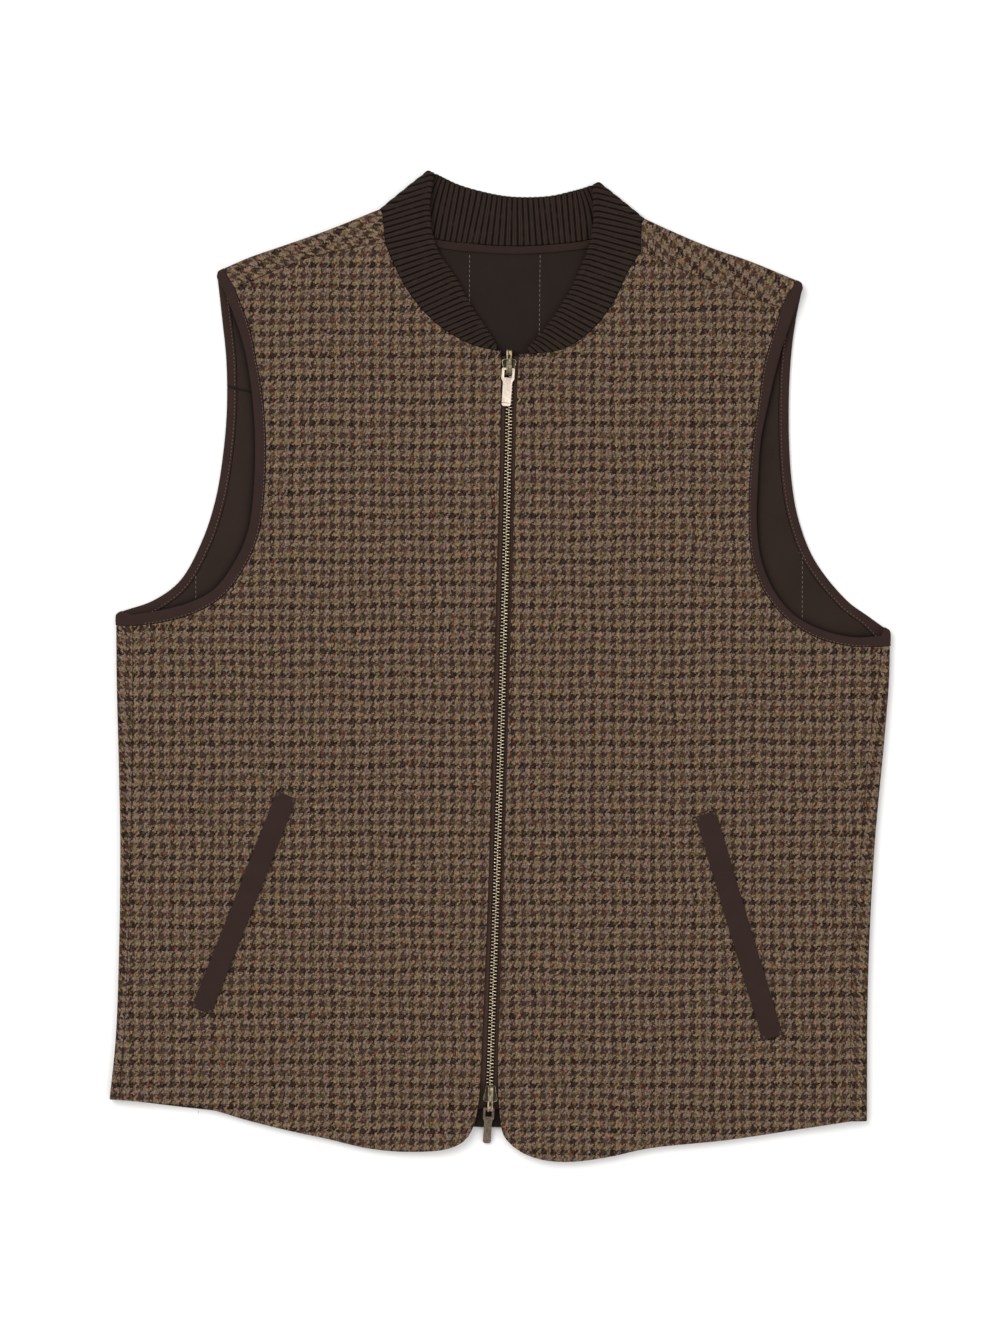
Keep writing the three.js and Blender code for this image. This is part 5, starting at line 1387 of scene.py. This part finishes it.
def plate(low, rim):
    """A slider plate with rounded edges. The upper one has a raised rim round its face."""
    along, half = slider_plan["along"], slider_plan["half"]
    loop = np.concatenate([np.stack([half, along], 1), np.stack([-half, along], 1)[::-1]])
    high, soft = low + PLATE, PLATE_SOFT
    levels = [(low, soft, 0.6), (low + soft, 0, 0.4), (high - soft, 0, 0),
              (high - 0.3 * soft, 0.3 * soft, 0), (high, soft, 0)]
    if rim:
        levels += [(high, 0.5 * MM, 0), (high - 0.1 * MM, 0.62 * MM, 0.8), (high - 0.3 * MM, 0.85 * MM, 0.9)]
    return stacked(loop, levels)


def bridge():
    """A strip with a groove along its top, carried over its arch from foot to foot. Near the far end
    the groove becomes a deep slot, painted fully dark as painted shade. The patina on the strip and in
    its groove stops short of the far end, whose bare metal there is a painted highlight."""
    path = smooth({"x": bridge_path["along"], "y": bridge_path["height"]}, 64)
    way = np.gradient(path, axis=0)
    way /= np.linalg.norm(way, axis=1)[:, None]
    outward = np.stack([-way[:, 1], way[:, 0]], 1)
    half, wall = BRIDGE_WIDTH / 2, BRIDGE_WALL / 2
    in_slot = (path[:, 0] > SLOT_START) & (path[:, 0] < SLOT_END)
    depth = np.where(in_slot, 0.9 * MM, 0.3 * MM)
    x = np.array([-1, -1, -0.9, -0.45, -0.34, 0.34, 0.45, 0.9, 1, 1, 0.9, -0.9]) * half
    n = np.array([-0.7, 0.7, 1, 1, 0, 0, 1, 1, 0.7, -0.7, -1, -1]) * wall
    heights = np.tile(n, (len(path), 1))
    heights[:, 4:6] = wall - depth[:, None]
    planar = path[:, None] + outward[:, None] * heights[..., None]
    rings = np.dstack([np.broadcast_to(x, heights.shape), planar])
    # Patina on the bridge, cleared towards its far end as a painted highlight; the full dark in the slot is
    # painted shade
    worn = smoothstep(path[:, 0], 10.5 * MM, 12.5 * MM)
    patina = np.repeat(BRIDGE_PATINA * (1 - worn)[:, None], len(x), 1)
    patina[:, 4:6] = np.where(in_slot, 1.0, np.where(path[:, 0] < SLOT_END, GROOVE_PATINA, 0.0))[:, None]
    return *capped(rings), patina.ravel()


def slider():
    """Both plates, the neck between them, the two flanges and the bridge."""
    neck = np.array([[-0.5, 0.615], [0.5, 0.615], [0.5, 0.99], [-0.5, 0.99]]) * [BRIDGE_WIDTH, SLIDER_LENGTH]
    low, high, soft = PLATE_LOW_Z, PLATE_HIGH_Z + PLATE, NECK_SOFT
    neck_levels = [(low, soft, 1), (low + soft, 0, 1), (high - soft, 0, 0), (high, soft, 0)]
    bodies = [plate(PLATE_LOW_Z, False), plate(PLATE_HIGH_Z, True), stacked(neck, neck_levels), bridge()]
    for sign in SIDES.values():
        flange = np.array([[3.15, 0.8], [3.5, 0.8], [3.8, 4], [4.7, 8], [4.7, 9.4], [3.15, 9.4]]) * MM
        bodies.append(stacked(flange * [sign, 1], [(6.6 * MM, 0.0, 0.3), (7.6 * MM, 0.0, 0.3)]))
    return joined(bodies)


def turned_level(points, angle):
    """Points turned about the upright axis."""
    c, s = math.cos(angle), math.sin(angle)
    return points @ np.array([[c, s, 0], [-s, c, 0], [0, 0, 1]])


def zip_lean(y):
    """Turn of the zip's middle line from straight up, at a height."""
    return math.atan2(zip_x(y - 10 * MM) - zip_x(y + 10 * MM), 20 * MM)


slider_points, slider_faces, patina = slider()
olive_brass = new_material(
    "olive_brass", metal_finish(colour(92, 82, 60), colour(184, 170, 138), 2.2 * MM, 0.35, 0.5), Metallic=1.0)
rosy_brass = new_material(
    "rosy_brass", metal_finish(colour(116, 102, 84), colour(206, 186, 158), 2.2 * MM, 0.3, 0.5), Metallic=1.0)
on_plates = slider_points[:, 2] < PLATE_HIGH_Z + 1.01 * PLATE
for name, y, turn, aside, tarnish, cast in (
        ("upper", UPPER_SLIDER_Y, 0.0, -0.25 * MM, 0.15, olive_brass),
        ("lower", LOWER_SLIDER_Y, math.pi, 0.7 * MM, 0.55, rosy_brass)):
    placed = turned_level(slider_points, zip_lean(y) + turn) + [zip_x(y) + aside, y, 0]
    piece = new_piece(f"slider_brass_{name}", placed, slider_faces, placed[:, :2], cast,
                      f"zip_slider_{name}", "zip_brass")
    mark(piece, "patina", np.maximum(patina, tarnish * on_plates))
    round_edges(piece, SLIDER_EDGE, 2, 40)

# Pull tabs
# A plated tab hangs on each bridge by a windowed head. Its face is bare, with a low rim round it.
# The upper one is pale and bright, the lower one duller, and each hangs a little aslant.
PULL_AXIS_Z = 9.6 * MM
PULL_HALF_THICK = 0.8 * MM
PULL_RIM = 0.5 * MM
PULL_RECESS = 0.05 * MM
PULL_SOFT = 0.25 * MM
PULL_CHAMFER = 0.12 * MM
# Where the line of painted shade for a groove crosses each pull
PULL_LINE = -23.7 * MM
pull_outline = table("along half inner_along inner_half", [
    [-0.75, 1.0, 0.75, 0.9], [-0.75, 2.6, 0.75, 2.0], [-0.75, 3.6, 0.75, 2.45], [-0.52, 4.25, 0.86, 2.62],
    [-0.1, 4.5, 1.05, 2.65], [0.8, 4.55, 1.6, 2.65], [2.4, 4.55, 2.6, 2.65], [4.2, 4.55, 4.2, 2.65],
    [5.6, 4.55, 5.4, 2.65], [6.6, 4.55, 5.75, 2.6], [7.4, 4.45, 5.93, 2.45], [8.3, 3.8, 6.0, 2.2],
    [9.2, 3.35, 6.0, 1.9], [10.6, 3.25, 6.0, 1.6], [14.0, 3.25, 6.0, 1.3], [18.0, 3.25, 6.0, 1.05],
    [22.0, 3.25, 6.0, 0.85], [24.6, 3.2, 6.0, 0.65], [25.4, 2.85, 6.0, 0.45], [25.9, 2.2, 6.0, 0.3],
    [26.0, 1.2, 6.0, 0.15]])


def pull_tab():
    """A closed strip of sections round the window: each runs from the window's edge to the outline,
    with rounded edges, a rim at both and a low recess between, and back underneath."""
    outer = np.stack([pull_outline["half"], -pull_outline["along"]], 1)
    inner = np.stack([pull_outline["inner_half"], -pull_outline["inner_along"]], 1)
    outer = np.concatenate([outer, (outer * [-1, 1])[::-1]])
    inner = np.concatenate([inner, (inner * [-1, 1])[::-1]])
    soft = PULL_SOFT
    turn = np.linspace(0, math.pi / 2, 4)
    edge = [(soft * (1 - math.cos(a)), PULL_HALF_THICK - soft * (1 - math.sin(a))) for a in turn]
    face = [(PULL_RIM, PULL_HALF_THICK), (PULL_RIM + PULL_CHAMFER, PULL_HALF_THICK - PULL_RECESS)]

    def rows(loop, way, levels):
        return [raised(moved_inwards(loop, way * inward), z) for inward, z in levels]

    top = rows(outer, 1, edge + face) + rows(inner, -0.6, (edge + face)[::-1])
    under = rows(inner, -0.6, edge) + rows(outer, 1, edge[::-1])
    for ring in under:
        ring[:, 2] *= -1
    points = np.stack(top + under, 1).reshape(-1, 3)
    faces = ring_faces(len(outer), len(top) + len(under), closed=True)
    return points, faces[:, ::1 if facing_out(points, faces) else -1]


bright_plate = new_material(
    "bright_plating",
    metal_finish(colour(200, 183, 168), colour(224, 209, 196), 1.6 * MM, 0.45, 0.6, PULL_LINE),
    Metallic=0.7)
dull_plate = new_material(
    "dull_plating",
    metal_finish(colour(92, 79, 65), colour(128, 113, 96), 1.6 * MM, 0.42, 0.6, PULL_LINE),
    Metallic=0.7)
pull_points, pull_faces = pull_tab()
for name, y, along, aside, slope, play, breadth, plating in (
        ("upper", UPPER_SLIDER_Y, 4.3 * MM, -0.65 * MM, 3.0, -3.2, 1.0, bright_plate),
        ("lower", LOWER_SLIDER_Y, -16.0 * MM, -0.1 * MM, 18.0, -2.2, 0.85, dull_plate)):
    c, s = math.cos(math.radians(slope)), math.sin(math.radians(slope))
    sloped = (pull_points * [breadth, 1, 1]) @ np.array([[1, 0, 0], [0, c, s], [0, -s, c]])
    lean = zip_lean(y)
    hinge = [zip_x(y) + aside - math.sin(lean) * along, y + math.cos(lean) * along, PULL_AXIS_Z]
    placed = turned_level(sloped, lean + math.radians(play)) + hinge
    new_piece(f"pull_tab_{name}", placed, pull_faces, pull_points[:, :2], plating, f"zip_pull_{name}",
              "zip_pull", f"{name}_pull")
